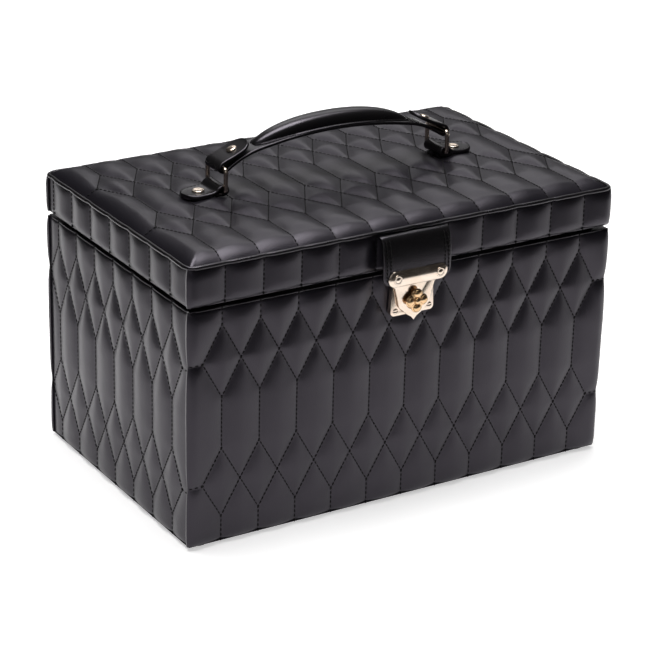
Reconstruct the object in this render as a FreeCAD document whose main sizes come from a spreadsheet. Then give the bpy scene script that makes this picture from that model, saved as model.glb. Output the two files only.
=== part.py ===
"""Leather jewellery case with a hinged lid, a lift-out tray, a hasp with a turn knob and a carrying handle.

Frame: X along the case's length, -Y towards the closure, +Z up. The origin is the middle of the overall
footprint, on the surface that the feet stand on. Millimetres.
"""
import FreeCAD, Part
import math
import os
import Sketcher
from FreeCAD import Vector

doc = FreeCAD.newDocument("jewellery_case")
sheet = doc.addObject("Spreadsheet::Sheet", "Sizes")

DRIVING = {
    # outer case
    "length": 330.0, "depth": 207.0, "foot_height": 2.0, "case_top": 167.5, "lid_bottom": 169.7,
    "lid_edge": 196.2, "cushion_top": 203.5, "cushion_inset": 10.0, "case_shift": 3.7,
    # thicknesses of the layers
    "cover": 3.0, "wall": 6.0, "lid_wall": 5.0, "lid_panel": 4.0, "lining": 2.5, "skin": 1.0,
    "rim_rise": 6.0, "floor_board": 6.0, "floor_pad": 1.5,
    # feet
    "foot_radius": 8.0, "foot_inset": 12.0,
    # tray and dividers
    "tray_low": 130.3, "tray_height": 36.0, "tray_wall": 2.5, "tray_gap": 0.8, "rail": 5.0,
    "roll_radius": 12.0, "roll_pitch": 25.0, "roll_length": 106.0, "divider": 3.0,
    # mirror
    "mirror_length": 210.0, "mirror_depth": 120.0, "mirror_glass": 2.0, "mirror_border": 40.0,
    "mirror_pad": 4.0,
    # hinges
    "hinge_place": 95.0, "hinge_length": 40.0, "knuckle_radius": 2.5, "pin_radius": 1.2, "pin_gap": 0.06,
    "leaf_height": 18.0, "leaf_thick": 1.2, "screw_head": 2.0, "screw_shank": 1.0, "screw_rise": 0.8,
    # closure: distances out from the case's front face and heights above the feet
    "plate_out": 4.2, "plate_low": 137.8, "plate_high": 160.0, "plate_half": 17.0, "plate_top_half": 15.8,
    "knob_height": 148.5, "recess_half": 8.0, "recess_depth": 2.8, "keeper": 1.0, "keeper_slot": 3.5,
    "flap_out": 5.0, "flap_thick": 1.5, "flap_half": 15.5, "flap_tip": 133.8, "flap_waist": 13.0,
    "strap_half": 26.5, "strap_thick": 3.0, "strap_low": 159.0, "strap_bend": 172.0, "strap_pivot": 193.6,
    "pivot_out": 2.1, "roll_edge": 1.62,
    "bar_length": 46.0, "bar_height": 11.0, "bar_thick": 2.0, "bar_middle": 166.5, "hasp_rivet": 16.5,
    "spindle_radius": 1.6, "cam_length": 13.0, "cam_width": 5.0, "cam_thick": 1.2, "knob_lobe": 3.6,
    "knob_reach": 5.0, "knob_thick": 3.6,
    # handle, rings and anchors
    "ring_place": 88.0, "ring_width": 25.0, "ring_rise": 15.0, "ring_wire": 1.5, "ring_corner": 2.0,
    "leather": 2.0, "loop_gap": 0.1, "tab_width": 20.6, "tab_end": 114.5, "anchor_rivet": 102.0,
    "handle_width": 20.0, "handle_crest": 236.4, "handle_radius": 296.0, "handle_shoulder": 64.0,
    "handle_thick": 2.6, "tongue_thick": 2.4, "handle_rivet": 77.0, "grip_half": 61.0, "grip_height": 8.5,
    "grip_width": 18.0, "rivet_radius": 3.0, "rivet_rise": 1.2,
}

for row, (alias, value) in enumerate(DRIVING.items(), start=1):
    sheet.set(f"A{row}", alias)
    sheet.set(f"B{row}", str(value))
    sheet.setAlias(f"B{row}", alias)
doc.recompute()

# Places that many sub-parts share, as expressions on the sheet.
HALF = "Sizes.length / 2"
FRONT = "(Sizes.case_shift - Sizes.depth / 2)"
BACK = "(Sizes.case_shift + Sizes.depth / 2)"
BASE_TOP = "(Sizes.foot_height + Sizes.skin + Sizes.floor_board)"
FLOOR_TOP = f"({BASE_TOP} + Sizes.floor_pad)"
PANEL_TOP = "(Sizes.lid_edge - 2)"
PANEL_LOW = f"({PANEL_TOP} - Sizes.lid_panel)"
INSET_LINING = "(Sizes.cover + Sizes.wall)"
ROOM = f"(Sizes.cover + Sizes.wall + Sizes.lining)"
SEAM = "((Sizes.case_top + Sizes.lid_bottom) / 2)"
HINGE_Y = f"({BACK} + Sizes.knuckle_radius + 0.1)"
RING_LOW = "(Sizes.cushion_top + Sizes.leather + Sizes.loop_gap + Sizes.ring_wire)"
SIDES = ("front", "back", "left", "right")

nodes = []


def value(expression):
    """The number that an expression on the sheet gives now."""
    result = sheet.evalExpression(str(expression))
    return float(getattr(result, "Value", result))


def keep(obj, label):
    """Names a finished sub-part and puts it on the list of parts to write."""
    obj.Label = label
    nodes.append(obj)
    return obj


def move(obj, x, y, z):
    """Binds an object's place to the sheet."""
    for letter, expression in zip("xyz", (x, y, z)):
        obj.setExpression(f"Placement.Base.{letter}", str(expression))
    return obj


def box(name, x, y, z):
    """A block between two places on each axis."""
    block = doc.addObject("Part::Box", name)
    for size, (low, high) in zip(("Length", "Width", "Height"), (x, y, z)):
        block.setExpression(size, f"({high}) - ({low})")
    return move(block, x[0], y[0], z[0])


def rod(name, radius, height, place, axis=None):
    """A round bar from a place, along Z or turned so that it runs along axis."""
    bar = doc.addObject("Part::Cylinder", name)
    bar.setExpression("Radius", str(radius))
    bar.setExpression("Height", str(height))
    if axis is not None:
        bar.Placement.Rotation = FreeCAD.Rotation(Vector(0, 0, 1), axis)
    return move(bar, *place)


def fuse(name, *shapes):
    joined = doc.addObject("Part::MultiFuse", name)
    joined.Shapes = list(shapes)
    return joined


def cut(name, base, tool):
    rest = doc.addObject("Part::Cut", name)
    rest.Base = base
    rest.Tool = tool
    return rest


def group(label, members):
    """Separate like solids that share one node."""
    gathered = doc.addObject("Part::Compound", label)
    gathered.Links = list(members)
    return keep(gathered, label)


def slab(name, side, inset, thickness, low, high):
    """One upright board of a box: front and back run right across, left and right fit between them."""
    if side in ("front", "back"):
        x = (f"-({HALF} - {inset})", f"{HALF} - {inset}")
        if side == "front":
            y = (f"{FRONT} + {inset}", f"{FRONT} + {inset} + {thickness}")
        else:
            y = (f"{BACK} - {inset} - {thickness}", f"{BACK} - {inset}")
    else:
        y = (f"{FRONT} + {inset} + {thickness}", f"{BACK} - {inset} - {thickness}")
        if side == "left":
            x = (f"-({HALF} - {inset})", f"-({HALF} - {inset} - {thickness})")
        else:
            x = (f"{HALF} - {inset} - {thickness}", f"{HALF} - {inset}")
    return box(name, x, y, (low, high))


def inner_box(name, inset, z):
    """A flat board that fills the case's outline less an inset."""
    x = (f"-({HALF} - {inset})", f"{HALF} - {inset}")
    y = (f"{FRONT} + {inset}", f"{BACK} - {inset}")
    return box(name, x, y, z)


def new_body(label, place):
    body = doc.addObject("PartDesign::Body", label)
    keep(body, label)
    move(body, *place)
    return body


def sketch_on(body, role, offset="0"):
    """A sketch on one of the body's own origin planes, moved along the plane's normal."""
    sketch = body.newObject("Sketcher::SketchObject", f"{body.Name}_sketch")
    plane = [f for f in body.Origin.OriginFeatures if f.Role == role][0]
    sketch.AttachmentSupport = [(plane, "")]
    sketch.MapMode = "FlatFace"
    sketch.setExpression("AttachmentOffset.Base.z", offset)
    return sketch


def pin_point(sketch, geometry, position, x, y):
    """Fixes a point of the sketch at two expressions on the sheet."""
    for kind, expression in (("DistanceX", x), ("DistanceY", y)):
        number = sketch.addConstraint(
            Sketcher.Constraint(kind, -1, 1, geometry, position, value(expression)))
        sketch.setExpression(f"Constraints[{number}]", str(expression))


def outline(sketch, points):
    """A closed polygon with every corner bound to the sheet."""
    corners = [Vector(value(x), value(y), 0) for x, y in points]
    first = sketch.GeometryCount
    count = len(points)
    for i in range(count):
        sketch.addGeometry(Part.LineSegment(corners[i], corners[(i + 1) % count]), False)
    for i in range(count):
        after = first + (i + 1) % count
        sketch.addConstraint(Sketcher.Constraint("Coincident", first + i, 2, after, 1))
    for i, (x, y) in enumerate(points):
        pin_point(sketch, first + i, 1, x, y)


def circle(sketch, x, y, radius):
    centre = Vector(value(x), value(y), 0)
    ring = sketch.addGeometry(Part.Circle(centre, Vector(0, 0, 1), value(radius)), False)
    number = sketch.addConstraint(Sketcher.Constraint("Radius", ring, value(radius)))
    sketch.setExpression(f"Constraints[{number}]", str(radius))
    pin_point(sketch, ring, 3, x, y)


def pad(body, sketch, length):
    feature = body.newObject("PartDesign::Pad", f"{body.Name}_pad")
    feature.Profile = sketch
    feature.setExpression("Length", str(length))
    doc.recompute()
    return feature


def pocket(body, sketch, length):
    """Cuts against the sketch's normal, and stops the build if nothing was cut."""
    before = body.Shape.Volume
    feature = body.newObject("PartDesign::Pocket", f"{body.Name}_pocket")
    feature.Profile = sketch
    feature.setExpression("Length", str(length))
    doc.recompute()
    if body.Shape.Volume > before - 0.01:
        raise RuntimeError(f"{body.Label}: the pocket cuts nothing")
    return feature


def fillet(body, test, radius):
    """Rounds the edges of the body's last feature that pass the test."""
    base = body.Tip
    names = [f"Edge{i}" for i, edge in enumerate(base.Shape.Edges, start=1) if test(edge)]
    feature = body.newObject("PartDesign::Fillet", f"{body.Name}_fillet")
    feature.Base = (base, names)
    feature.Radius = radius
    doc.recompute()
    return feature


def runs_along(edge, axis):
    """Whether a straight edge runs along X, Y or Z (0, 1 or 2)."""
    if edge.Curve.TypeId != "Part::GeomLine":
        return False
    return abs(abs(edge.Curve.Direction[axis]) - 1) < 1e-6


# ---------------------------------------------------------------- carcass of the case

def case_carcass():
    """Bottom skin, feet, fibreboard tub, quilted covers, linings and the binding of the rim."""
    top = "Sizes.case_top - Sizes.skin"
    keep(inner_box("bottom_cover", "0", ("Sizes.foot_height", "Sizes.foot_height + Sizes.skin")),
         "bottom_cover")
    keep(inner_box("base_board", "Sizes.cover", ("Sizes.foot_height + Sizes.skin", BASE_TOP)), "base_board")
    keep(inner_box("floor_lining", ROOM, (BASE_TOP, FLOOR_TOP)), "floor_lining")
    for side in SIDES:
        cover_low = "Sizes.foot_height + Sizes.skin"
        keep(slab(f"{side}_cover", side, "0", "Sizes.cover", cover_low, top), f"{side}_cover")
        keep(slab(f"{side}_board", side, "Sizes.cover", "Sizes.wall", BASE_TOP, top), f"{side}_board")
        keep(slab(f"{side}_lining", side, INSET_LINING, "Sizes.lining", BASE_TOP,
                  "Sizes.case_top + Sizes.rim_rise"), f"{side}_lining")
    group("case_rim_binding", [slab(f"rim_{side}", side, "0", INSET_LINING, top, "Sizes.case_top")
                               for side in SIDES])
    feet = []
    for x in (-1, 1):
        for y, edge in ((1, FRONT), (-1, BACK)):
            place = (f"{x} * ({HALF} - Sizes.foot_inset)", f"{edge} + {y} * Sizes.foot_inset", "0")
            feet.append(rod("foot", "Sizes.foot_radius", "Sizes.foot_height", place))
    group("feet", feet)


def case_fittings():
    """Rails that carry the tray and the dividers of the lower room."""
    rails = []
    rail_y = (f"{FRONT} + 20", f"{BACK} - 20")
    rail_z = ("Sizes.tray_low - 0.3 - 6", "Sizes.tray_low - 0.3")
    for side in (-1, 1):
        ends = [f"{side} * ({HALF} - {ROOM})", f"{side} * ({HALF} - {ROOM} - Sizes.rail)"]
        ends.sort(key=value)
        rails.append(box("rail", ends, rail_y, rail_z))
    group("tray_rails", rails)
    y = (f"{FRONT} + {ROOM}", f"{BACK} - {ROOM}")
    z = (FLOOR_TOP, "Sizes.tray_low - 20")
    group("lower_dividers", [box("divider", (f"{middle} - Sizes.divider / 2", f"{middle} + Sizes.divider / 2"),
                                 y, z) for middle in (-52, 52)])


# ---------------------------------------------------------------- lid

def lid_carcass():
    """Lid boards, quilted covers, bindings, padded top and the mirror under it."""
    low = "Sizes.lid_bottom + Sizes.skin"
    for side in SIDES:
        keep(slab(f"lid_{side}_cover", side, "0", "Sizes.cover", low, "Sizes.lid_edge"), f"lid_{side}_cover")
        keep(slab(f"lid_{side}_board", side, "Sizes.cover", "Sizes.lid_wall", low, PANEL_LOW),
             f"lid_{side}_board")
    keep(inner_box("lid_top_board", "Sizes.cover", (PANEL_LOW, PANEL_TOP)), "lid_top_board")
    group("lid_rim_binding", [slab(f"lid_rim_{side}", side, "0", "(Sizes.cover + Sizes.lid_wall)",
                                   "Sizes.lid_bottom", low) for side in SIDES])
    group("lid_piping", [slab(f"piping_{side}", side, "0", "Sizes.cover", "Sizes.lid_edge",
                              "Sizes.lid_edge + 1.5") for side in SIDES])


def lid_cushion():
    """The padded top: a straight edge inside the covers and a sloped shoulder up to the crown."""
    body = new_body("lid_cushion", ("0", "Sizes.case_shift", PANEL_TOP))
    half_x = f"({HALF} - Sizes.cover)"
    half_y = "(Sizes.depth / 2 - Sizes.cover)"
    crown_x = f"({HALF} - Sizes.cushion_inset)"
    crown_y = "(Sizes.depth / 2 - Sizes.cushion_inset)"
    edge = "3.5"
    base = sketch_on(body, "XY_Plane")
    outline(base, corners_of(half_x, half_y))
    pad(body, base, edge)
    foot = sketch_on(body, "XY_Plane", edge)
    outline(foot, corners_of(half_x, half_y))
    crown = sketch_on(body, "XY_Plane", f"Sizes.cushion_top - {PANEL_TOP}")
    outline(crown, corners_of(crown_x, crown_y))
    loft = body.newObject("PartDesign::AdditiveLoft", "cushion_shoulder")
    loft.Profile = foot
    loft.Sections = [crown]
    loft.Ruled = True
    doc.recompute()


def corners_of(half_x, half_y):
    return [(f"-({half_x})", f"-({half_y})"), (half_x, f"-({half_y})"), (half_x, half_y),
            (f"-({half_x})", half_y)]


def lid_mirror():
    """A mirror held in a padded frame of four strips under the lid's panel."""
    half_x, half_y = "Sizes.mirror_length / 2", "Sizes.mirror_depth / 2"
    middle, border = "Sizes.case_shift", "Sizes.mirror_border"
    z = (f"{PANEL_LOW} - Sizes.mirror_pad", PANEL_LOW)
    long_x = (f"-({half_x} + {border})", f"{half_x} + {border}")
    short_y = (f"{middle} - {half_y}", f"{middle} + {half_y}")
    reach = "(Sizes.mirror_border / 1.6)"
    strips = [
        box("frame_front", long_x, (f"{middle} - {half_y} - {reach}", f"{middle} - {half_y}"), z),
        box("frame_back", long_x, (f"{middle} + {half_y}", f"{middle} + {half_y} + {reach}"), z),
        box("frame_left", (f"-({half_x} + {border})", f"-({half_x})"), short_y, z),
        box("frame_right", (half_x, f"{half_x} + {border}"), short_y, z),
    ]
    group("mirror_frame", strips)
    glass_z = (f"{PANEL_LOW} - Sizes.mirror_glass", PANEL_LOW)
    keep(box("mirror", (f"-({half_x})", half_x), short_y, glass_z), "mirror")


# ---------------------------------------------------------------- hinges

def hinge_knuckles(place, odd, hole):
    """The knuckles of one leaf: five on a barrel, the first, third and fifth on the case's leaf."""
    share = "Sizes.hinge_length / 5"
    made = []
    for number in range(5):
        if (number % 2 == 0) != odd:
            continue
        start = f"{place} - Sizes.hinge_length / 2 + {number} * {share} + 0.05"
        outer = rod("knuckle", "Sizes.knuckle_radius", f"{share} - 0.1", (start, HINGE_Y, SEAM),
                    Vector(1, 0, 0))
        bore = rod("bore", hole, f"{share} - 0.1", (start, HINGE_Y, SEAM), Vector(1, 0, 0))
        made.append((outer, bore, start))
    return made


def hinge_leaf(name, place, on_case):
    """A leaf screwed flat on the outside, joined to its knuckles by short webs."""
    share = "Sizes.hinge_length / 5"
    hole = "Sizes.pin_radius" if on_case else "(Sizes.pin_radius + Sizes.pin_gap)"
    gap = "(Sizes.knuckle_radius + 0.5)"
    y = (BACK, f"{BACK} + Sizes.leaf_thick")
    x = (f"{place} - Sizes.hinge_length / 2", f"{place} + Sizes.hinge_length / 2")
    if on_case:
        z = (f"{SEAM} - Sizes.leaf_height", f"{SEAM} - {gap}")
    else:
        z = (f"{SEAM} + {gap}", f"{SEAM} + Sizes.leaf_height")
    solids = [box("leaf", x, y, z)]
    bores = []
    for outer, bore, start in hinge_knuckles(place, on_case, hole):
        web_z = (z[1], SEAM) if on_case else (SEAM, z[0])
        web = box("web", (start, f"{start} + {share} - 0.1"), y, web_z)
        solids += [outer, web]
        bores.append(bore)
    return cut(name, fuse(f"{name}_solid", *solids), fuse(f"{name}_bores", *bores))


def hinges():
    """Two butt hinges on the back: case leaf, lid leaf, pin and four screws each."""
    places = ("-Sizes.hinge_place", "Sizes.hinge_place")
    group("case_hinge_leaves", [hinge_leaf("case_leaf", place, True) for place in places])
    group("lid_hinge_leaves", [hinge_leaf("lid_leaf", place, False) for place in places])
    pins = [rod("pin", "Sizes.pin_radius", "Sizes.hinge_length",
                (f"{place} - Sizes.hinge_length / 2", HINGE_Y, SEAM), Vector(1, 0, 0)) for place in places]
    group("hinge_pins", pins)
    for label, sign in (("case_hinge_screws", -1), ("lid_hinge_screws", 1)):
        screws = []
        for place in places:
            for reach in (-12, 12):
                at = (f"{place} + {reach}", f"{BACK} + Sizes.leaf_thick", f"{SEAM} + {sign} * 11.5")
                screws.append(screw(at, Vector(0, 1, 0), "6.5"))
        group(label, screws)


def screw(place, out, length, head="Sizes.screw_head", shank="Sizes.screw_shank", rise="Sizes.screw_rise"):
    """A round-headed screw or rivet whose head sits on a face and whose shank goes into it."""
    top = rod("head", head, rise, place, out)
    stem = rod("shank", shank, length, place, -out)
    return fuse("fastener", top, stem)


# ---------------------------------------------------------------- tray

def tray():
    """The lift-out tray: floor, four walls, dividers, ring rolls and two pull tabs."""
    inset = f"({ROOM} + Sizes.tray_gap)"
    low = "Sizes.tray_low"
    high = "(Sizes.tray_low + Sizes.tray_height)"
    floor = f"({low} + Sizes.tray_wall)"
    keep(inner_box("tray_floor", inset, (low, floor)), "tray_floor")
    for label, sides in (("tray_long_walls", ("front", "back")), ("tray_end_walls", ("left", "right"))):
        group(label, [slab(f"tray_{side}", side, inset, "Sizes.tray_wall", floor, high) for side in sides])
    inner_front = f"({FRONT} + {inset} + Sizes.tray_wall)"
    inner_back = f"({BACK} - {inset} - Sizes.tray_wall)"
    inner_right = f"({HALF} - {inset} - Sizes.tray_wall)"
    z = (floor, f"{high} - 4")
    roll_end = f"(-({HALF} - {inset} - Sizes.tray_wall) + Sizes.roll_length + 2)"
    main = box("divider", (roll_end, f"{roll_end} + Sizes.divider"), (inner_front, inner_back), z)
    across = box("divider", (f"{roll_end} + Sizes.divider", inner_right),
                 ("Sizes.case_shift + 10", "Sizes.case_shift + 10 + Sizes.divider"), z)
    dividers = [main, across]
    for place, y in ((25, ("Sizes.case_shift + 10 + Sizes.divider", inner_back)),
                     (88, ("Sizes.case_shift + 10 + Sizes.divider", inner_back)),
                     (56, (inner_front, "Sizes.case_shift + 10"))):
        dividers.append(box("divider", (str(place), f"{place} + Sizes.divider"), y, z))
    group("tray_dividers", dividers)
    rolls = []
    for number in range(7):
        y = f"Sizes.case_shift + {number - 3} * Sizes.roll_pitch"
        start = f"-({HALF} - {inset} - Sizes.tray_wall) + 1"
        rolls.append(rod("roll", "Sizes.roll_radius", "Sizes.roll_length",
                         (start, y, f"{floor} + Sizes.roll_radius"), Vector(1, 0, 0)))
    group("ring_rolls", rolls)
    tab_y = ("Sizes.case_shift - 10", "Sizes.case_shift + 10")
    tab_z = (f"{high} - 8", f"{high} + 5")
    tabs = []
    for sign in (-1, 1):
        ends = [f"{sign} * {inner_right}", f"{sign} * ({inner_right} - Sizes.skin)"]
        ends.sort(key=value)
        tabs.append(box("tab", ends, tab_y, tab_z))
    group("tray_tabs", tabs)


# ---------------------------------------------------------------- closure

def lock_plate():
    """The plate on the case: a recess open at the top, with a keeper on each side of the cam's slot."""
    body = new_body("lock_plate", ("0", FRONT, "0"))
    face = sketch_on(body, "XZ_Plane")
    outline(face, [("-Sizes.plate_half", "Sizes.plate_low"), ("Sizes.plate_half", "Sizes.plate_low"),
                   ("Sizes.plate_top_half", "Sizes.plate_high"),
                   ("-Sizes.plate_top_half", "Sizes.plate_high")])
    pad(body, face, "Sizes.plate_out")
    corner_height = value("Sizes.plate_low") + 0.1
    fillet(body, lambda e: runs_along(e, 1) and e.CenterOfMass.z < corner_height, 3.0)
    recess = sketch_on(body, "XZ_Plane", "Sizes.plate_out")
    outline(recess, [("-Sizes.recess_half", "Sizes.knob_height - Sizes.recess_half"),
                     ("Sizes.recess_half", "Sizes.knob_height - Sizes.recess_half"),
                     ("Sizes.recess_half", "Sizes.plate_high + 1"),
                     ("-Sizes.recess_half", "Sizes.plate_high + 1")])
    pocket(body, recess, "Sizes.recess_depth")
    for sign in ("", "-"):
        keeper = sketch_on(body, "XZ_Plane", "Sizes.plate_out - Sizes.keeper")
        outline(keeper, [(f"{sign}Sizes.keeper_slot", "Sizes.knob_height - 5"),
                         (f"{sign}(Sizes.recess_half + 0.5)", "Sizes.knob_height - 5"),
                         (f"{sign}(Sizes.recess_half + 0.5)", "Sizes.knob_height + 5"),
                         (f"{sign}Sizes.keeper_slot", "Sizes.knob_height + 5")])
        pad(body, keeper, "Sizes.keeper")
    screws = [screw((f"{x}", f"{FRONT} - Sizes.plate_out", "Sizes.plate_low + 3.6"), Vector(0, -1, 0), "11",
                    rise="1.0") for x in (-13.2, 13.2)]
    group("lock_plate_screws", screws)


def closure_strap():
    """The leather strap, seen from its side: a rolled upper edge that it swings on, then down over the seam."""
    body = new_body("closure_strap", ("-Sizes.strap_half", FRONT, "0"))
    side = sketch_on(body, "YZ_Plane")
    inside = "-(Sizes.flap_out + Sizes.flap_thick)"
    outside = "-(Sizes.flap_out + Sizes.flap_thick + Sizes.strap_thick)"
    outline(side, [(inside, "Sizes.strap_low"), (inside, "Sizes.strap_bend - 1"),
                   ("-0.6", "Sizes.strap_pivot - 0.6"), ("-3.5", "Sizes.strap_pivot + 0.8"),
                   (outside, "Sizes.strap_bend"), (outside, "Sizes.strap_low")])
    pad(body, side, "2 * Sizes.strap_half")
    roll = sketch_on(body, "YZ_Plane")
    circle(roll, "-Sizes.pivot_out", "Sizes.strap_pivot", "Sizes.roll_edge")
    pad(body, roll, "2 * Sizes.strap_half")


def hasp():
    """The metal of the hasp: a pointed flap behind the strap and a bar in front, with two rivets."""
    flap = new_body("hasp_flap", ("0", f"{FRONT} - Sizes.flap_out", "0"))
    shape = sketch_on(flap, "XZ_Plane")
    top = "(Sizes.bar_middle + 4.5)"
    side = [("Sizes.flap_half + 3", top), ("Sizes.flap_half + 3", "Sizes.bar_middle - 5.5"),
            ("Sizes.flap_half", "Sizes.bar_middle - 8"), ("Sizes.flap_waist + 0.3", "Sizes.knob_height + 3"),
            ("Sizes.flap_waist - 1.2", "Sizes.knob_height - 4"),
            ("Sizes.flap_waist / 2 - 1", "Sizes.knob_height - 10"), ("2.2", "Sizes.flap_tip + 2.6")]
    left = [(f"-({x})", z) for x, z in reversed(side)]
    outline(shape, side + [("0", "Sizes.flap_tip")] + left)
    circle(shape, "0", "Sizes.knob_height", "Sizes.spindle_radius + 0.1")
    pad(flap, shape, "Sizes.flap_thick")

    bar = new_body("hasp_bar", ("0", f"{FRONT} - Sizes.flap_out - Sizes.flap_thick - Sizes.strap_thick", "0"))
    face = sketch_on(bar, "XZ_Plane")
    half, rise = "Sizes.bar_length / 2", "Sizes.bar_height / 2"
    outline(face, [(f"-({half})", f"Sizes.bar_middle - {rise}"), (half, f"Sizes.bar_middle - {rise}"),
                   (half, f"Sizes.bar_middle + {rise}"), (f"-({half})", f"Sizes.bar_middle + {rise}")])
    pad(bar, face, "Sizes.bar_thick")
    fillet(bar, lambda e: runs_along(e, 1), 5.4)
    front = f"{FRONT} - Sizes.flap_out - Sizes.flap_thick - Sizes.strap_thick - Sizes.bar_thick"
    rivets = [screw((f"{sign} * Sizes.hasp_rivet", front, "Sizes.bar_middle"), Vector(0, -1, 0), "7.2",
                    rise="1.0") for sign in (-1, 1)]
    group("hasp_rivets", rivets)


def turn_knob():
    """A four-lobed knob on a spindle through the flap, with the cam that turns behind the keepers."""
    start = f"{FRONT} - Sizes.flap_out - Sizes.flap_thick - 0.3"
    body = new_body("turn_knob", ("0", start, "Sizes.knob_height"))
    collar = sketch_on(body, "XZ_Plane")
    circle(collar, "0", "0", "Sizes.knob_reach")
    pad(body, collar, "1.2")
    lobe = sketch_on(body, "XZ_Plane", "1.0")
    circle(lobe, "Sizes.knob_reach", "0", "Sizes.knob_lobe")
    petal = pad(body, lobe, "Sizes.knob_thick")
    pattern = body.newObject("PartDesign::PolarPattern", "lobes")
    pattern.Originals = [petal]
    axis = [f for f in body.Origin.OriginFeatures if f.Role == "Y_Axis"][0]
    pattern.Axis = (axis, [""])
    pattern.Angle = 360
    pattern.Occurrences = 4
    body.Tip = pattern
    doc.recompute()
    boss = sketch_on(body, "XZ_Plane", "1.0")
    circle(boss, "0", "0", "Sizes.knob_reach - 0.6")
    pad(body, boss, "Sizes.knob_thick + 0.9")
    stem_length = "Sizes.flap_thick + 0.3 + Sizes.flap_out - Sizes.plate_out + Sizes.keeper + 0.3"
    stem = sketch_on(body, "XZ_Plane", f"-({stem_length})")
    circle(stem, "0", "0", "Sizes.spindle_radius")
    pad(body, stem, f"{stem_length} + 0.5")

    cam_front = f"{FRONT} - Sizes.plate_out + Sizes.keeper + 0.3"
    keep(box("knob_cam", ("-Sizes.cam_width / 2", "Sizes.cam_width / 2"),
             (cam_front, f"{cam_front} + Sizes.cam_thick"),
             ("Sizes.knob_height - Sizes.cam_length / 2", "Sizes.knob_height + Sizes.cam_length / 2")),
         "knob_cam")


# ---------------------------------------------------------------- handle

def anchor_tab(label, sign):
    """A folded leather tab, seen from the front: its eye round the ring, its tail down on the cushion."""
    ring_x, ring_z = value("Sizes.ring_place"), value(RING_LOW)
    outer = value("Sizes.leather + Sizes.loop_gap + Sizes.ring_wire")
    half = value("Sizes.tab_width") / 2
    floor, end = value("Sizes.cushion_top"), value("Sizes.tab_end")
    tail = floor + value("Sizes.leather") * 1.5
    tail_profile = Part.makePolygon([Vector(ring_x, -half, floor), Vector(end, -half, floor),
                                     Vector(end, -half, tail), Vector(ring_x + 1.0, -half, ring_z + outer - 0.15),
                                     Vector(ring_x, -half, floor)])
    solid = Part.Face(tail_profile).extrude(Vector(0, 2 * half, 0))
    corners = [e for e in solid.Edges if runs_along(e, 2) and e.CenterOfMass.x > end - 0.1]
    solid = solid.makeFillet(half - 1.5, corners)
    along = Vector(0, 1, 0)
    eye = Part.makeCylinder(outer, 2 * half, Vector(ring_x, -half, ring_z), along)
    hole = Part.makeCylinder(value("Sizes.ring_wire + Sizes.loop_gap"), 2 * half,
                             Vector(ring_x, -half, ring_z), along)
    solid = solid.fuse(eye).removeSplitter().cut(hole)
    if sign < 0:
        solid = solid.mirror(Vector(0, 0, 0), Vector(1, 0, 0))
    tab = doc.addObject("Part::Feature", label)
    tab.Shape = solid
    tab.Placement = FreeCAD.Placement(Vector(0, value("Sizes.case_shift"), 0), FreeCAD.Rotation())
    keep(tab, label)


def ring(label, sign):
    """A rectangular ring of round wire, standing on edge in its tab."""
    middle = f"{RING_LOW} + Sizes.ring_rise / 2"
    body = new_body(label, (f"{sign} * Sizes.ring_place", "Sizes.case_shift", middle))
    path = sketch_on(body, "YZ_Plane")
    rounded_rectangle(path, "Sizes.ring_width / 2", "Sizes.ring_rise / 2", "Sizes.ring_corner")
    wire = sketch_on(body, "XY_Plane")
    circle(wire, "0", "Sizes.ring_width / 2", "Sizes.ring_wire")
    pipe = body.newObject("PartDesign::AdditivePipe", f"{label}_pipe")
    pipe.Profile = wire
    pipe.Spine = path
    doc.recompute()


def rounded_rectangle(sketch, half_x, half_y, radius):
    """Four lines and four quarter arcs, with the arcs' centres and radii bound to the sheet."""
    a, b, r = value(half_x), value(half_y), value(radius)
    arcs = []
    for number, (sx, sy) in enumerate(((1, 1), (-1, 1), (-1, -1), (1, -1))):
        centre = Vector(sx * (a - r), sy * (b - r), 0)
        base = Part.Circle(centre, Vector(0, 0, 1), r)
        start = number * math.pi / 2
        arc = sketch.addGeometry(Part.ArcOfCircle(base, start, start + math.pi / 2), False)
        arcs.append(arc)
        pin_point(sketch, arc, 3, f"{sx} * ({half_x} - {radius})", f"{sy} * ({half_y} - {radius})")
        bound = sketch.addConstraint(Sketcher.Constraint("Radius", arc, r))
        sketch.setExpression(f"Constraints[{bound}]", radius)
    for number, arc in enumerate(arcs):
        after = arcs[(number + 1) % 4]
        start = sketch.getPoint(arc, 2)
        end = sketch.getPoint(after, 1)
        line = sketch.addGeometry(Part.LineSegment(start, end), False)
        sketch.addConstraint(Sketcher.Constraint("Tangent", line, 1, arc, 2))
        sketch.addConstraint(Sketcher.Constraint("Tangent", line, 2, after, 1))


def handle_height(x, above=0.0):
    """Height of the strap's underside at x, or of a curve parallel to it."""
    radius = value("Sizes.handle_radius")
    return value("Sizes.handle_crest") - radius + math.sqrt((radius + above) ** 2 - x ** 2)


def handle_band():
    """The arched strap between its shoulders, as a flat band seen from the front."""
    shoulder, thick = value("Sizes.handle_shoulder"), value("Sizes.handle_thick")
    low = Part.Arc(Vector(-shoulder, 0, handle_height(shoulder)), Vector(0, 0, handle_height(0)),
                   Vector(shoulder, 0, handle_height(shoulder))).toShape()
    high = Part.Arc(Vector(-shoulder, 0, handle_height(shoulder, thick)), Vector(0, 0, handle_height(0, thick)),
                    Vector(shoulder, 0, handle_height(shoulder, thick))).toShape()
    ends = [Part.makeLine(low.Vertexes[i].Point, high.Vertexes[i].Point) for i in (0, 1)]
    return Part.Face(Part.Wire(Part.__sortEdges__([low, high] + ends)))


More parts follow.
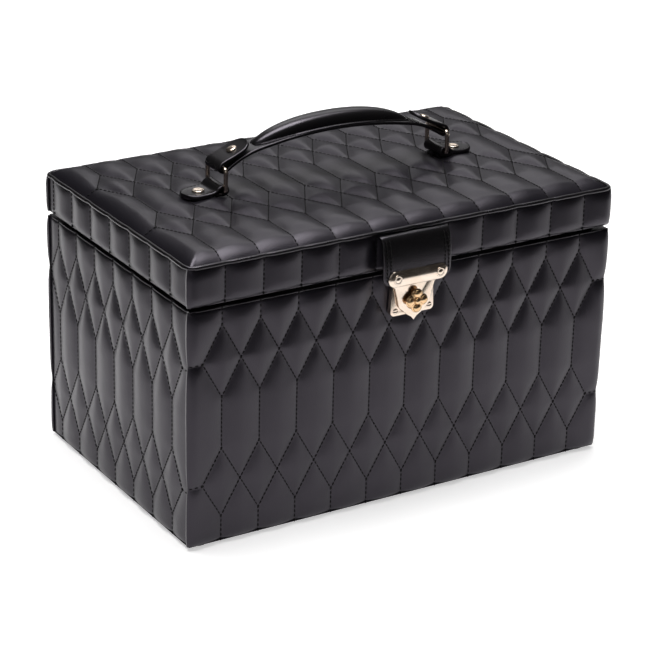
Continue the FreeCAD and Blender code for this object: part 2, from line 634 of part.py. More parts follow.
def handle_end(sign):
    """One end seen from the front: the strap and its folded tongue, converging on the eye."""
    shoulder = value("Sizes.handle_shoulder")
    eye_x, eye_z = value("Sizes.ring_place"), value(f"{RING_LOW} + Sizes.ring_rise")
    outer = value("Sizes.leather + Sizes.loop_gap + Sizes.ring_wire")
    low = handle_height(shoulder)
    high = low + value("Sizes.handle_thick + Sizes.tongue_thick")
    slope = math.atan2(eye_z - low, eye_x - shoulder)
    across = Vector(-math.sin(slope), 0, math.cos(slope)) * (outer - 0.1)
    eye = Vector(eye_x, 0, eye_z)
    corners = [Vector(shoulder - 2, 0, handle_height(shoulder - 2)), eye - across, eye + across,
               Vector(shoulder, 0, high), Vector(shoulder - 3, 0, high - 0.4)]
    face = Part.Face(Part.makePolygon(corners + [corners[0]]))
    if sign < 0:
        face = face.mirror(Vector(0, 0, 0), Vector(1, 0, 0))
    return face


def handle_strap():
    """The strap with an eye at each end that turns on the ring's upper bar."""
    width = value("Sizes.handle_width")
    across = Vector(0, width, 0)
    along = Vector(0, 1, 0)
    eye_x, eye_z = value("Sizes.ring_place"), value(f"{RING_LOW} + Sizes.ring_rise")
    outer = value("Sizes.leather + Sizes.loop_gap + Sizes.ring_wire")
    inner = value("Sizes.ring_wire + Sizes.loop_gap")
    solid = handle_band().extrude(across)
    for sign in (-1, 1):
        eye = Part.makeCylinder(outer, width, Vector(sign * eye_x, 0, eye_z), along)
        solid = solid.fuse([handle_end(sign).extrude(across), eye])
    for sign in (-1, 1):
        solid = solid.cut(Part.makeCylinder(inner, width, Vector(sign * eye_x, 0, eye_z), along))
    strap = doc.addObject("Part::Feature", "handle_strap")
    strap.Shape = solid.removeSplitter()
    middle = value("Sizes.case_shift") - width / 2
    strap.Placement = FreeCAD.Placement(Vector(0, middle, 0), FreeCAD.Rotation())
    keep(strap, "handle_strap")


def handle_grip():
    """The padded grip: half-round sections along the strap, thinner towards both tips."""
    half, width = value("Sizes.grip_half"), value("Sizes.grip_width")
    height, thick = value("Sizes.grip_height"), value("Sizes.handle_thick")
    sections = []
    for share in (-1.0, -0.86, -0.6, -0.3, 0.0, 0.3, 0.6, 0.86, 1.0):
        x = share * half
        swell = max(0.12, math.sqrt(1 - share ** 2))
        reach = width / 2 * max(0.35, swell ** 0.6)
        base = handle_height(x, thick) + 0.1
        left, right = Vector(x, -reach, base), Vector(x, reach, base)
        crown = Vector(x, 0, base + height * swell)
        sections.append(Part.Wire([Part.Arc(left, crown, right).toShape(), Part.makeLine(right, left)]))
    grip = doc.addObject("Part::Feature", "handle_grip")
    grip.Shape = Part.makeLoft(sections, True, False)
    grip.Placement = FreeCAD.Placement(Vector(0, value("Sizes.case_shift"), 0), FreeCAD.Rotation())
    keep(grip, "handle_grip")


def handle_rivets():
    """Domed rivets that close the folded ends of the strap and the two anchor tabs."""
    shoulder = value("Sizes.handle_shoulder")
    low, high = handle_height(shoulder) + 5.0, value(f"{RING_LOW} + Sizes.ring_rise") + 3.2
    share = (value("Sizes.handle_rivet") - shoulder) / (value("Sizes.ring_place") - shoulder)
    fold_top = low + (high - low) * share
    slope = math.atan2(low - high, value("Sizes.ring_place") - shoulder)
    rivets = []
    for sign in (-1, 1):
        out = Vector(sign * math.sin(slope), 0, math.cos(slope))
        place = (f"{sign} * Sizes.handle_rivet", "Sizes.case_shift", str(fold_top - 0.2))
        rivets.append(screw(place, out, "5.6", "Sizes.rivet_radius", "1.2", "Sizes.rivet_rise"))
    group("handle_rivets", rivets)
    anchors = []
    for sign in (-1, 1):
        place = (f"{sign} * Sizes.anchor_rivet", "Sizes.case_shift",
                 "Sizes.cushion_top + Sizes.leather * 1.5 + 1.7")
        anchors.append(screw(place, Vector(0, 0, 1), "12", "Sizes.rivet_radius", "1.2", "Sizes.rivet_rise"))
    group("anchor_rivets", anchors)


case_carcass()
case_fittings()
lid_carcass()
lid_cushion()
lid_mirror()
hinges()
tray()
lock_plate()
closure_strap()
hasp()
turn_knob()
for end, direction in (("left", -1), ("right", 1)):
    anchor_tab(f"{end}_anchor_tab", direction)
    ring(f"{end}_ring", direction)
handle_strap()
handle_grip()
handle_rivets()
doc.recompute()

for obj in doc.Objects:
    if "Invalid" in obj.State or "Error" in obj.State:
        raise RuntimeError(f"{obj.Name} failed: {obj.State}")
os.makedirs("parts", exist_ok=True)
for node in nodes:
    if node.Shape.isNull() or not node.Shape.isValid():
        raise RuntimeError(f"{node.Label} has no valid shape")
    node.Shape.exportStep(f"parts/{node.Label}.step")
print(len(nodes), "sub-parts written")
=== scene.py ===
import math
import bmesh
import bpy
from mathutils import Matrix, Vector, noise


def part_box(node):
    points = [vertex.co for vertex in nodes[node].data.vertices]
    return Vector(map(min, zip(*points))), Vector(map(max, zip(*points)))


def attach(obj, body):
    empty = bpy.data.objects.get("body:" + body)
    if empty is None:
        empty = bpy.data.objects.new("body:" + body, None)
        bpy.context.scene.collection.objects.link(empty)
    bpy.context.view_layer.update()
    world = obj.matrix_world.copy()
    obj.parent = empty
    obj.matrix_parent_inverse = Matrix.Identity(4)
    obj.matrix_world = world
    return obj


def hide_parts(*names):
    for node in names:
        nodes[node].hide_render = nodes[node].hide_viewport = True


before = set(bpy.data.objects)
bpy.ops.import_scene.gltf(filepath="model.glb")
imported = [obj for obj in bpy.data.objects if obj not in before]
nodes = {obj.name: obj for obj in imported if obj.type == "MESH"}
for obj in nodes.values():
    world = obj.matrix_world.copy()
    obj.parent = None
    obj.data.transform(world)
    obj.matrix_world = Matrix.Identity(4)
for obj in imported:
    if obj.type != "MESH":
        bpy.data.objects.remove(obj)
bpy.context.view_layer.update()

scene = bpy.context.scene
MM = 0.001


# ---------------------------------------------------------------- studio
# The case stands on a white table top in a dim studio. Two soft boxes hang over it and one stands behind it
# on the right. Pale screens stand behind it and beside the lens. Past the table the lens sees white.

CAMERA_PLACE = Vector((-824.9, -1324.0, 739.6)) * MM
CAMERA_AZIMUTH = math.radians(-31.84)
CAMERA_ELEVATION = math.radians(22.58)
CAMERA_ROLL = math.radians(1.40)
FOCAL_LENGTH = 133.5

back = Vector((math.sin(CAMERA_AZIMUTH) * math.cos(CAMERA_ELEVATION),
               -math.cos(CAMERA_AZIMUTH) * math.cos(CAMERA_ELEVATION), math.sin(CAMERA_ELEVATION)))
level = Vector((0, 0, 1)).cross(back).normalized()
upright = back.cross(level)
right = level * math.cos(CAMERA_ROLL) + upright * math.sin(CAMERA_ROLL)
above = upright * math.cos(CAMERA_ROLL) - level * math.sin(CAMERA_ROLL)
lens = bpy.data.cameras.new("camera")
lens.lens = FOCAL_LENGTH
lens.sensor_width = 36.0
camera = bpy.data.objects.new("camera", lens)
camera.matrix_world = Matrix.Translation(CAMERA_PLACE) @ Matrix((right, above, back)).transposed().to_4x4()
scene.collection.objects.link(camera)
scene.camera = camera
scene.view_settings.view_transform = "Standard"


def soft_box(name, place, aim, width, height, power):
    """An area light at a place, turned towards a point, that the lens doesn't see."""
    lamp = bpy.data.lights.new(name, "AREA")
    lamp.shape = "RECTANGLE"
    lamp.size = width
    lamp.size_y = height
    lamp.energy = power
    stand = bpy.data.objects.new(name, lamp)
    stand.location = place
    stand.rotation_euler = (Vector(aim) - Vector(place)).to_track_quat("-Z", "Y").to_euler()
    stand.visible_camera = False
    scene.collection.objects.link(stand)


soft_box("overhead_box", (-0.10, 0.10, 1.55), (-0.1, 0.05, 0.0), 1.05, 0.9, 26)
soft_box("corner_box", (0.50, 0.12, 1.50), (-0.1, -0.05, 0.2), 0.2, 0.6, 2.2)
soft_box("rear_box", (0.85, 1.35, 1.45), (0.2, 0.4, 0.0), 1.3, 0.8, 4.5)
soft_box("lens_screen", (-1.0, -1.5, 0.95), (0, 0, 0.15), 1.6, 1.0, 2.5)
soft_box("rear_screen", (0.85, 1.45, 0.95), (0, 0, 0.2), 1.9, 1.0, 1.5)

ROOM_LIGHT = 0.035
TABLE_GLOW = 0.5
room = bpy.data.worlds.new("room")
room.use_nodes = True
room_tree = room.node_tree
dim = room_tree.nodes["Background"]
dim.inputs["Color"].default_value = (1.0, 0.98, 0.97, 1.0)
dim.inputs["Strength"].default_value = ROOM_LIGHT
bright = room_tree.nodes.new("ShaderNodeBackground")
bright.inputs["Color"].default_value = (1.0, 1.0, 1.0, 1.0)
bright.inputs["Strength"].default_value = 1.0
choice = room_tree.nodes.new("ShaderNodeMixShader")
room_tree.links.new(room_tree.nodes.new("ShaderNodeLightPath").outputs["Is Camera Ray"], choice.inputs["Fac"])
room_tree.links.new(dim.outputs[0], choice.inputs[1])
room_tree.links.new(bright.outputs[0], choice.inputs[2])
room_tree.links.new(choice.outputs[0], room_tree.nodes["World Output"].inputs["Surface"])
scene.world = room


def link_mesh(name, points, faces, outward=True):
    """A smooth-shaded object at the origin from points in metres and faces, with its faces turned out."""
    mesh = bpy.data.meshes.new(name)
    mesh.from_pydata([tuple(p) for p in points], [], [tuple(f) for f in faces])
    if outward:
        shell = bmesh.new()
        shell.from_mesh(mesh)
        bmesh.ops.remove_doubles(shell, verts=shell.verts, dist=1e-6)
        bmesh.ops.recalc_face_normals(shell, faces=shell.faces)
        shell.to_mesh(mesh)
        shell.free()
    mesh.shade_smooth()
    mesh.set_sharp_from_angle(angle=math.radians(50))
    made = bpy.data.objects.new(name, mesh)
    scene.collection.objects.link(made)
    return made


TABLE_LEFT, TABLE_RIGHT, TABLE_FRONT, TABLE_BACK = -0.60, 1.7, -0.50, 1.9
table = link_mesh("table", [(TABLE_LEFT, TABLE_FRONT, 0), (TABLE_RIGHT, TABLE_FRONT, 0),
                            (TABLE_RIGHT, TABLE_BACK, 0), (TABLE_LEFT, TABLE_BACK, 0)],
                  [(0, 1, 2, 3)], outward=False)
paper = bpy.data.materials.new("white_paper")
paper.use_nodes = True
surface = paper.node_tree.nodes["Principled BSDF"]
surface.inputs["Base Color"].default_value = (0.95, 0.94, 0.94, 1)
surface.inputs["Roughness"].default_value = 0.8
surface.inputs["Emission Color"].default_value = (1.0, 1.0, 1.0, 1)
surface.inputs["Emission Strength"].default_value = TABLE_GLOW
table.data.materials.append(paper)


# ---------------------------------------------------------------- boards
# The walls and the lid are glued up from thin wood fibreboard, cut square. Leather outside and suede inside
# cover nearly all of it.

def add(tree, kind, **settings):
    """A node with its settings."""
    node = tree.nodes.new(kind)
    for key, setting in settings.items():
        setattr(node, key, setting)
    return node


def feed(tree, socket, source):
    """Gives a socket a number, or joins it to another socket."""
    if isinstance(source, bpy.types.NodeSocket):
        tree.links.new(source, socket)
    else:
        socket.default_value = source


def maths(tree, operation, *sources):
    """The output of a maths node on numbers or sockets."""
    node = add(tree, "ShaderNodeMath", operation=operation)
    for place, source in enumerate(sources):
        feed(tree, node.inputs[place], source)
    return node.outputs[0]


def shades(tree, share, first, second):
    """A mix of two colours by a changing share."""
    node = add(tree, "ShaderNodeMix", data_type="RGBA")
    feed(tree, node.inputs["Factor"], share)
    ends = [socket for socket in node.inputs if socket.type == "RGBA"]
    for socket, source in zip(ends, (first, second)):
        feed(tree, socket, source if isinstance(source, bpy.types.NodeSocket) else (*source, 1.0))
    return [socket for socket in node.outputs if socket.type == "RGBA"][0]


def effect_group(name, inputs, outputs):
    """An empty shader group with named sockets, and its input and output nodes."""
    tree = bpy.data.node_groups.new(name, "ShaderNodeTree")
    for label, kind, default in inputs:
        socket = tree.interface.new_socket(label, in_out="INPUT", socket_type=kind)
        if default is not None:
            socket.default_value = default
    for label in outputs:
        tree.interface.new_socket(label, in_out="OUTPUT", socket_type="NodeSocketFloat")
    return tree, tree.nodes.new("NodeGroupInput"), tree.nodes.new("NodeGroupOutput")


def noise_at(tree, vector, scale, detail=2.0, roughness=0.5):
    """The value of a noise texture on a vector socket."""
    node = add(tree, "ShaderNodeTexNoise")
    tree.links.new(vector, node.inputs["Vector"])
    for label, source in (("Scale", scale), ("Detail", detail), ("Roughness", roughness)):
        feed(tree, node.inputs[label], source)
    return node.outputs["Fac"]


def new_material(name):
    """A node material, its tree, its shader and the object coordinates."""
    material = bpy.data.materials.new(name)
    material.use_nodes = True
    tree = material.node_tree
    place = add(tree, "ShaderNodeTexCoord").outputs["Object"]
    return material, tree, tree.nodes["Principled BSDF"], place


def emboss(tree, shader, height, strength, depth):
    """Fine relief on a shader from a height socket."""
    relief = add(tree, "ShaderNodeBump")
    relief.inputs["Strength"].default_value = strength
    relief.inputs["Distance"].default_value = depth
    tree.links.new(height, relief.inputs["Height"])
    tree.links.new(relief.outputs["Normal"], shader.inputs["Normal"])


fibreboard, tree, shader, place = new_material("fibreboard")
fibres = noise_at(tree, place, 420.0, 5.0, 0.7)
tree.links.new(shades(tree, fibres, (0.20, 0.13, 0.07), (0.34, 0.24, 0.14)), shader.inputs["Base Color"])
shader.inputs["Roughness"].default_value = 0.85
emboss(tree, shader, fibres, 0.3, 0.0002)


def finish_nodes(material, *names):
    """Gives CAD nodes that stay in view their finish."""
    for name in names:
        nodes[name].data.materials.clear()
        nodes[name].data.materials.append(material)


finish_nodes(fibreboard, "base_board", "lid_top_board",
             *[f"{lid}{side}_board" for lid in ("", "lid_") for side in ("front", "back", "left", "right")])


# ---------------------------------------------------------------- suede linings
# The inside is lined with card covered in black microsuede, turned over its edges. The same suede covers the
# rails, the dividers and the tray.

nap_marks, given, result = effect_group(
    "nap_marks", [("Vector", "NodeSocketVector", None), ("Stroke size", "NodeSocketFloat", 30.0)],
    ["Fibres", "Strokes"])
nap_marks.links.new(noise_at(nap_marks, given.outputs["Vector"], 1900.0, 3.0, 0.8), result.inputs["Fibres"])
nap_marks.links.new(noise_at(nap_marks, given.outputs["Vector"], given.outputs["Stroke size"], 2.0),
                    result.inputs["Strokes"])


SUEDE_DARK = (0.012, 0.011, 0.012)
SUEDE_LIGHT = (0.045, 0.042, 0.044)
black_suede, tree, shader, place = new_material("black_suede")
marks = add(tree, "ShaderNodeGroup", node_tree=nap_marks)
tree.links.new(place, marks.inputs["Vector"])
marks.inputs["Stroke size"].default_value = 26.0
nap = maths(tree, "ADD", maths(tree, "MULTIPLY", marks.outputs["Fibres"], 0.5),
            maths(tree, "MULTIPLY", marks.outputs["Strokes"], 0.5))
tree.links.new(shades(tree, nap, SUEDE_DARK, SUEDE_LIGHT), shader.inputs["Base Color"])
shader.inputs["Roughness"].default_value = 0.9
shader.inputs["Sheen Weight"].default_value = 0.35
shader.inputs["Sheen Roughness"].default_value = 0.4
emboss(tree, shader, marks.outputs["Fibres"], 0.4, 0.0003)


def softened(node, width, material, segments=2):
    """A copy of a CAD node, in its place, with its sharp edges rounded over."""
    shell = bmesh.new()
    shell.from_mesh(nodes[node].data)
    bmesh.ops.remove_doubles(shell, verts=shell.verts, dist=1e-6)
    bmesh.ops.dissolve_limit(shell, angle_limit=math.radians(1.0), verts=shell.verts, edges=shell.edges)
    mesh = bpy.data.meshes.new(f"{node}_soft")
    shell.to_mesh(mesh)
    shell.free()
    rough = bpy.data.objects.new(f"{node}_soft", mesh)
    scene.collection.objects.link(rough)
    rounding = rough.modifiers.new("rounding", "BEVEL")
    rounding.width = width
    rounding.segments = segments
    rounding.limit_method = "ANGLE"
    rounding.angle_limit = math.radians(35)
    bpy.context.view_layer.update()
    mesh = bpy.data.meshes.new_from_object(rough.evaluated_get(bpy.context.evaluated_depsgraph_get()))
    bpy.data.objects.remove(rough)
    mesh.materials.clear()
    mesh.materials.append(material)
    mesh.shade_smooth()
    mesh.set_sharp_from_angle(angle=math.radians(45))
    made = bpy.data.objects.new(f"{node}_finished", mesh)
    scene.collection.objects.link(made)
    return made


def stand_for(piece, body, slot, *names):
    """A piece rides on a body and stands for CAD nodes. The slot is not used."""
    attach(piece, body)
    if names:
        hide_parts(*names)


for node in ("floor_lining", "front_lining", "back_lining", "left_lining", "right_lining", "tray_rails",
             "lower_dividers"):
    stand_for(softened(node, 0.7 * MM, black_suede), "case", "suede_lining", node)


# ---------------------------------------------------------------- feet and bottom
# Four rubber pads stand under the bottom board. A leather panel covers it, cut a little short of the sides
# and turned under all round.

rubber, tree, shader, place = new_material("black_rubber")
specks = noise_at(tree, place, 1200.0, 2.0)
tree.links.new(shades(tree, specks, (0.010, 0.010, 0.010), (0.028, 0.027, 0.026)),
               shader.inputs["Base Color"])
shader.inputs["Roughness"].default_value = 0.7
emboss(tree, shader, specks, 0.3, 0.0002)
stand_for(softened("feet", 0.5 * MM, rubber), "case", "foot_pad", "feet")

grain, given, result = effect_group(
    "leather_grain", [("Vector", "NodeSocketVector", None), ("Size", "NodeSocketFloat", 900.0)],
    ["Height", "Tone", "Handling"])
pebbles = add(grain, "ShaderNodeTexVoronoi", feature="SMOOTH_F1")
grain.links.new(given.outputs["Vector"], pebbles.inputs["Vector"])
grain.links.new(given.outputs["Size"], pebbles.inputs["Scale"])
creases = noise_at(grain, given.outputs["Vector"], 260.0, 6.0, 0.6)
grain.links.new(maths(grain, "ADD", pebbles.outputs["Distance"], maths(grain, "MULTIPLY", creases, 0.7)),
                result.inputs["Height"])
grain.links.new(creases, result.inputs["Tone"])
grain.links.new(noise_at(grain, given.outputs["Vector"], 14.0, 3.0), result.inputs["Handling"])


def leather(name, dark, light, roughness, grain_size, relief, coat):
    """A leather whose grain, tone and gloss vary over the skin."""
    material, tree, skin, place = new_material(name)
    group = add(tree, "ShaderNodeGroup", node_tree=grain)
    tree.links.new(place, group.inputs["Vector"])
    group.inputs["Size"].default_value = grain_size
    tree.links.new(shades(tree, group.outputs["Tone"], dark, light), skin.inputs["Base Color"])
    handled = maths(tree, "SUBTRACT", group.outputs["Handling"], 0.5)
    tree.links.new(maths(tree, "MULTIPLY_ADD", handled, 0.22, roughness), skin.inputs["Roughness"])
    skin.inputs["Specular Tint"].default_value = (0.94, 0.85, 1.0, 1.0)
    skin.inputs["Specular IOR Level"].default_value = 0.44
    skin.inputs["Coat Weight"].default_value = coat
    skin.inputs["Coat Roughness"].default_value = 0.25
    emboss(tree, skin, group.outputs["Height"], relief, 0.0002)
    return material


quilted_leather = leather("quilted_leather", (0.0030, 0.0027, 0.0040), (0.0072, 0.0064, 0.0094), 0.36,
                          1500.0, 0.30, 0.05)
strap_leather = leather("strap_leather", (0.0026, 0.0025, 0.0026), (0.0062, 0.0058, 0.0060), 0.28,
                        1900.0, 0.20, 0.15)
TURNED_UNDER = 1.2 * MM
bottom_low, bottom_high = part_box("bottom_cover")
bottom_cover = softened("bottom_cover", 0.6 * MM, quilted_leather)
for vertex in bottom_cover.data.vertices:
    for axis in (0, 1):
        middle = (bottom_low[axis] + bottom_high[axis]) / 2
        half = (bottom_high[axis] - bottom_low[axis]) / 2
        vertex.co[axis] = middle + (vertex.co[axis] - middle) * (half - TURNED_UNDER) / half
stand_for(bottom_cover, "case", "smooth_leather", "bottom_cover")


# ---------------------------------------------------------------- quilted sides
# Each side is a leather skin over foam, sewn to its backing along a lattice of seams: straight lines that
# part into diamonds and close again. The foam lifts the skin between the seams, and the skin puckers where
# the thread pulls it down. The front and back skins turn the corners; the ends butt against them.

case_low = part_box("front_cover")[0]
case_high = Vector((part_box("right_cover")[1].x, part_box("back_cover")[1].y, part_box("front_cover")[1].z))
lid_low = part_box("lid_front_cover")[0]
lid_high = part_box("lid_front_cover")[1]
middle_y = (case_low.y + case_high.y) / 2
half_length = case_high.x
half_depth = (case_high.y - case_low.y) / 2
COVER_DEEP = 3.0 * MM
SEAM_BED = 1.5 * MM
THREAD_BED = 0.4 * MM
FOAM_PUFF = 3.3 * MM
FOAM_SOFTNESS = 7.0 * MM
FRONT_COLUMN = 28.0 * MM
LID_FRONT_SHIFT = 2.0 * MM
SIDE_COLUMN = 27.6 * MM
SIDE_SHIFT = 4.0 * MM
LID_SIDE_COLUMN = 28.3 * MM
LID_SIDE_SHIFT = 8.4 * MM
SEAM_END = 2.5 * MM
CORNER_ROUND = 2.2 * MM
FRONT_LEVELS = [v * MM for v in (155.0, 130.0, 105.0, 68.5, 44.3, 20.0)]
SIDE_LEVELS = [v * MM for v in (150.5, 126.5, 100.0, 64.7, 40.5, 17.0)]
STEP = 1.0 * MM


def set_input(modifier, label, setting):
    """Sets a Geometry Nodes input by its socket's identifier."""
    for item in modifier.node_group.interface.items_tree:
        if item.item_type == "SOCKET" and item.in_out == "INPUT" and item.name == label:
            modifier[item.identifier] = setting


def run_tree(piece, tree, settings, name):
    """Runs a Geometry Nodes tree on a piece and returns the result as a plain mesh object."""
    modifier = piece.modifiers.new(tree.name, "NODES")
    modifier.node_group = tree
    for label, setting in settings.items():
        set_input(modifier, label, setting)
    bpy.context.view_layer.update()
    mesh = bpy.data.meshes.new_from_object(piece.evaluated_get(bpy.context.evaluated_depsgraph_get()))
    piece.modifiers.remove(modifier)
    bpy.data.objects.remove(piece)
    mesh.name = name
    mesh.shade_smooth()
    mesh.set_sharp_from_angle(angle=math.radians(50))
    made = bpy.data.objects.new(name, mesh)
    scene.collection.objects.link(made)
    return made


def geometry_tree(name, inputs):
    """A Geometry Nodes tree with a geometry in and out and named inputs."""
    tree = bpy.data.node_groups.new(name, "GeometryNodeTree")
    tree.interface.new_socket("Geometry", in_out="INPUT", socket_type="NodeSocketGeometry")
    for label, kind in inputs:
        tree.interface.new_socket(label, in_out="INPUT", socket_type=kind)
    tree.interface.new_socket("Geometry", in_out="OUTPUT", socket_type="NodeSocketGeometry")
    return tree, tree.nodes.new("NodeGroupInput"), tree.nodes.new("NodeGroupOutput")


def end_tree(tree, geometry, material, result):
    """Ends a tree: real geometry with its material."""
    real = add(tree, "GeometryNodeRealizeInstances")
    tree.links.new(geometry, real.inputs[0])
    painted = add(tree, "GeometryNodeSetMaterial")
    tree.links.new(real.outputs[0], painted.inputs["Geometry"])
    tree.links.new(material, painted.inputs["Material"])
    tree.links.new(painted.outputs[0], result.inputs["Geometry"])


def scaled_vector(tree, vector, scale):
    """A vector socket times a number or a socket."""
    node = add(tree, "ShaderNodeVectorMath", operation="SCALE")
    tree.links.new(vector, node.inputs[0])
    feed(tree, node.inputs["Scale"], scale)
    return node.outputs["Vector"]


def quilting_tree():
    """Lifts a skin between its seams by their distance, with puckers that run out from the thread."""
    tree, given, result = geometry_tree("quilting", [
        ("Seams", "NodeSocketObject"), ("Puff", "NodeSocketFloat"), ("Softness", "NodeSocketFloat"),
        ("Thread bed", "NodeSocketFloat"), ("Pucker", "NodeSocketFloat"), ("Pucker size", "NodeSocketFloat"),
        ("Leather", "NodeSocketMaterial")])
    seams = add(tree, "GeometryNodeObjectInfo")
    tree.links.new(given.outputs["Seams"], seams.inputs["Object"])
    near = add(tree, "GeometryNodeProximity", target_element="EDGES")
    tree.links.new(seams.outputs["Geometry"], near.inputs[0])
    beyond = maths(tree, "SUBTRACT", near.outputs["Distance"], given.outputs["Thread bed"])
    gap = maths(tree, "MAXIMUM", beyond, 0.0)
    fall = maths(tree, "EXPONENT",
                 maths(tree, "DIVIDE", maths(tree, "MULTIPLY", gap, -1.0), given.outputs["Softness"]))
    rise = maths(tree, "SUBTRACT", 1.0, fall)
    loose = noise_at(tree, add(tree, "GeometryNodeInputPosition").outputs[0], 24.0, 1.0)
    filled = maths(tree, "MULTIPLY_ADD", loose, 0.6, 0.7)
    lift = maths(tree, "MULTIPLY", maths(tree, "MULTIPLY", rise, filled), given.outputs["Puff"])
    per_pucker = maths(tree, "DIVIDE", 1.0, given.outputs["Pucker size"])
    along = scaled_vector(tree, near.outputs["Position"], per_pucker)
    swing = maths(tree, "SUBTRACT", noise_at(tree, along, 1.0, 2.0), 0.5)
    reach = maths(tree, "MULTIPLY", rise, maths(tree, "POWER", fall, 1.2))
    pucker = maths(tree, "MULTIPLY", maths(tree, "MULTIPLY", swing, reach), given.outputs["Pucker"])
    fullness = add(tree, "GeometryNodeInputNamedAttribute", data_type="FLOAT")
    fullness.inputs["Name"].default_value = "fullness"
    height = maths(tree, "MULTIPLY", maths(tree, "ADD", lift, pucker), fullness.outputs["Attribute"])
    # The foam rounds the middle of each cell and leaves the seams as they are.
    rounded = add(tree, "GeometryNodeBlurAttribute", data_type="FLOAT")
    rounded.inputs["Iterations"].default_value = 14
    tree.links.new(height, rounded.inputs[0])
    tree.links.new(rise, rounded.inputs["Weight"])
    moved = add(tree, "GeometryNodeSetPosition")
    tree.links.new(given.outputs["Geometry"], moved.inputs["Geometry"])
    tree.links.new(scaled_vector(tree, add(tree, "GeometryNodeInputNormal").outputs["Normal"],
                                 rounded.outputs[0]),
                   moved.inputs["Offset"])
    end_tree(tree, moved.outputs["Geometry"], given.outputs["Leather"], result)
    return tree


quilting = quilting_tree()


def lattice(columns, levels, high, low, left, right):
    """The seams of one face as pairs of points; levels run from high to low, columns from left to right."""
    top_split, top_cross, top_join, low_split, low_cross, low_join = levels
    half = (columns[1] - columns[0]) / 2
    lines = []
    for column in columns:
        lines += [((column, high), (column, top_split)), ((column, top_join), (column, low_split)),
                  ((column, low_join), (column, low))]
        for side in (-half, half):
            for start, cross, end in ((top_split, top_cross, top_join), (low_split, low_cross, low_join)):
                lines += [((column, start), (column + side, cross)), ((column + side, cross), (column, end))]
    for cross in (top_cross, low_cross):
        lines += [((left, cross), (columns[0] - half, cross)), ((columns[-1] + half, cross), (right, cross))]
    return lines


def seam_edges(name, points, edges, outs):
    """Loose edges that carry the way out of the surface at each point."""
    mesh = bpy.data.meshes.new(name)
    mesh.from_pydata(points, edges, [])
    facing = mesh.attributes.new("facing", "FLOAT_VECTOR", "POINT")
    facing.data.foreach_set("vector", [c for out in outs for c in out])
    made = bpy.data.objects.new(name, mesh)
    scene.collection.objects.link(made)
    return made


def edge_lines(name, lines, spot, spacing=4 * MM):
    """Lines as loose edges on a surface; spot gives the point and the outward direction at (u, v)."""
    points, edges, outs = [], [], []
    for start, end in lines:
        start, end = Vector(start), Vector(end)
        count = max(1, round((end - start).length / spacing))
        first = len(points)
        for number in range(count + 1):
            point, out = spot(start.lerp(end, number / count))
            points.append(tuple(point))
            outs.append(tuple(out))
        edges += [(first + i, first + i + 1) for i in range(count)]
    return seam_edges(name, points, edges, outs)


def arch(distance, radius):
    """How far a rounded edge has risen at a distance from its rim, from 0 to 1."""
    short = max(0.0, 1.0 - distance / radius) if radius else 0.0
    return math.sqrt(max(0.0, 1.0 - short * short))


def grid_shell(name, u_span, v_span, surface, floor):
    """A closed shell: a fine grid on top, straight sides and a flat floor. Surface gives each point and how
    full its padding is, floor gives the point below."""
    columns = round((u_span[1] - u_span[0]) / STEP)
    rows = round((v_span[1] - v_span[0]) / STEP)
    points, full = [], []
    for row in range(rows + 1):
        for column in range(columns + 1):
            point, share = surface(u_span[0] + (u_span[1] - u_span[0]) * column / columns,
                                   v_span[0] + (v_span[1] - v_span[0]) * row / rows)
            points.append(point)
            full.append(share)
    wide = columns + 1
    faces = [(r * wide + c, r * wide + c + 1, (r + 1) * wide + c + 1, (r + 1) * wide + c)
             for r in range(rows) for c in range(columns)]
    ring = (list(range(wide)) + [r * wide + columns for r in range(1, rows + 1)]
            + [rows * wide + c for c in range(columns - 1, -1, -1)]
            + [r * wide for r in range(rows - 1, 0, -1)])
    start, count = len(points), len(ring)
    for index in ring:
        points.append(floor(points[index]))
        full.append(0.0)
    for i in range(count):
        after = (i + 1) % count
        faces.append((ring[after], ring[i], start + i, start + after))
    faces.append(tuple(start + i for i in range(count - 1, -1, -1)))
    made = link_mesh(name, points, faces, outward=False)
    made.data.attributes.new("fullness", "FLOAT", "POINT").data.foreach_set("value", full)
    return made


def pressed(u, v, spots, fade):
    """Less padding under the fittings: 0 inside a spot, 1 beyond its fade."""
    share = 1.0
    for low_u, high_u, low_v, high_v in spots:
        away = math.hypot(max(low_u - u, 0, u - high_u), max(low_v - v, 0, v - high_v))
        share = min(share, away / fade)
    return share


# Each face has its origin, the way across it seen from outside, and the way out.
FACES = {
    "front": (Vector((0, case_low.y, 0)), Vector((1, 0, 0)), Vector((0, -1, 0))),
    "back": (Vector((0, case_high.y, 0)), Vector((-1, 0, 0)), Vector((0, 1, 0))),
    "left": (Vector((-half_length, middle_y, 0)), Vector((0, -1, 0)), Vector((-1, 0, 0))),
    "right": (Vector((half_length, middle_y, 0)), Vector((0, 1, 0)), Vector((1, 0, 0))),
}
case_sewn, lid_sewn = [], []
plate_low, plate_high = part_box("lock_plate")
lock_spot = [(plate_low.x, plate_high.x, plate_low.z, plate_high.z)]
leaf_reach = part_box("case_hinge_leaves")[1].x
HINGE_LENGTH = 40 * MM
hinge_spots = [(min(side * leaf_reach, side * (leaf_reach - HINGE_LENGTH)),
                max(side * leaf_reach, side * (leaf_reach - HINGE_LENGTH)),
                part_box("case_hinge_leaves")[0].z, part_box("lid_hinge_leaves")[1].z) for side in (-1, 1)]


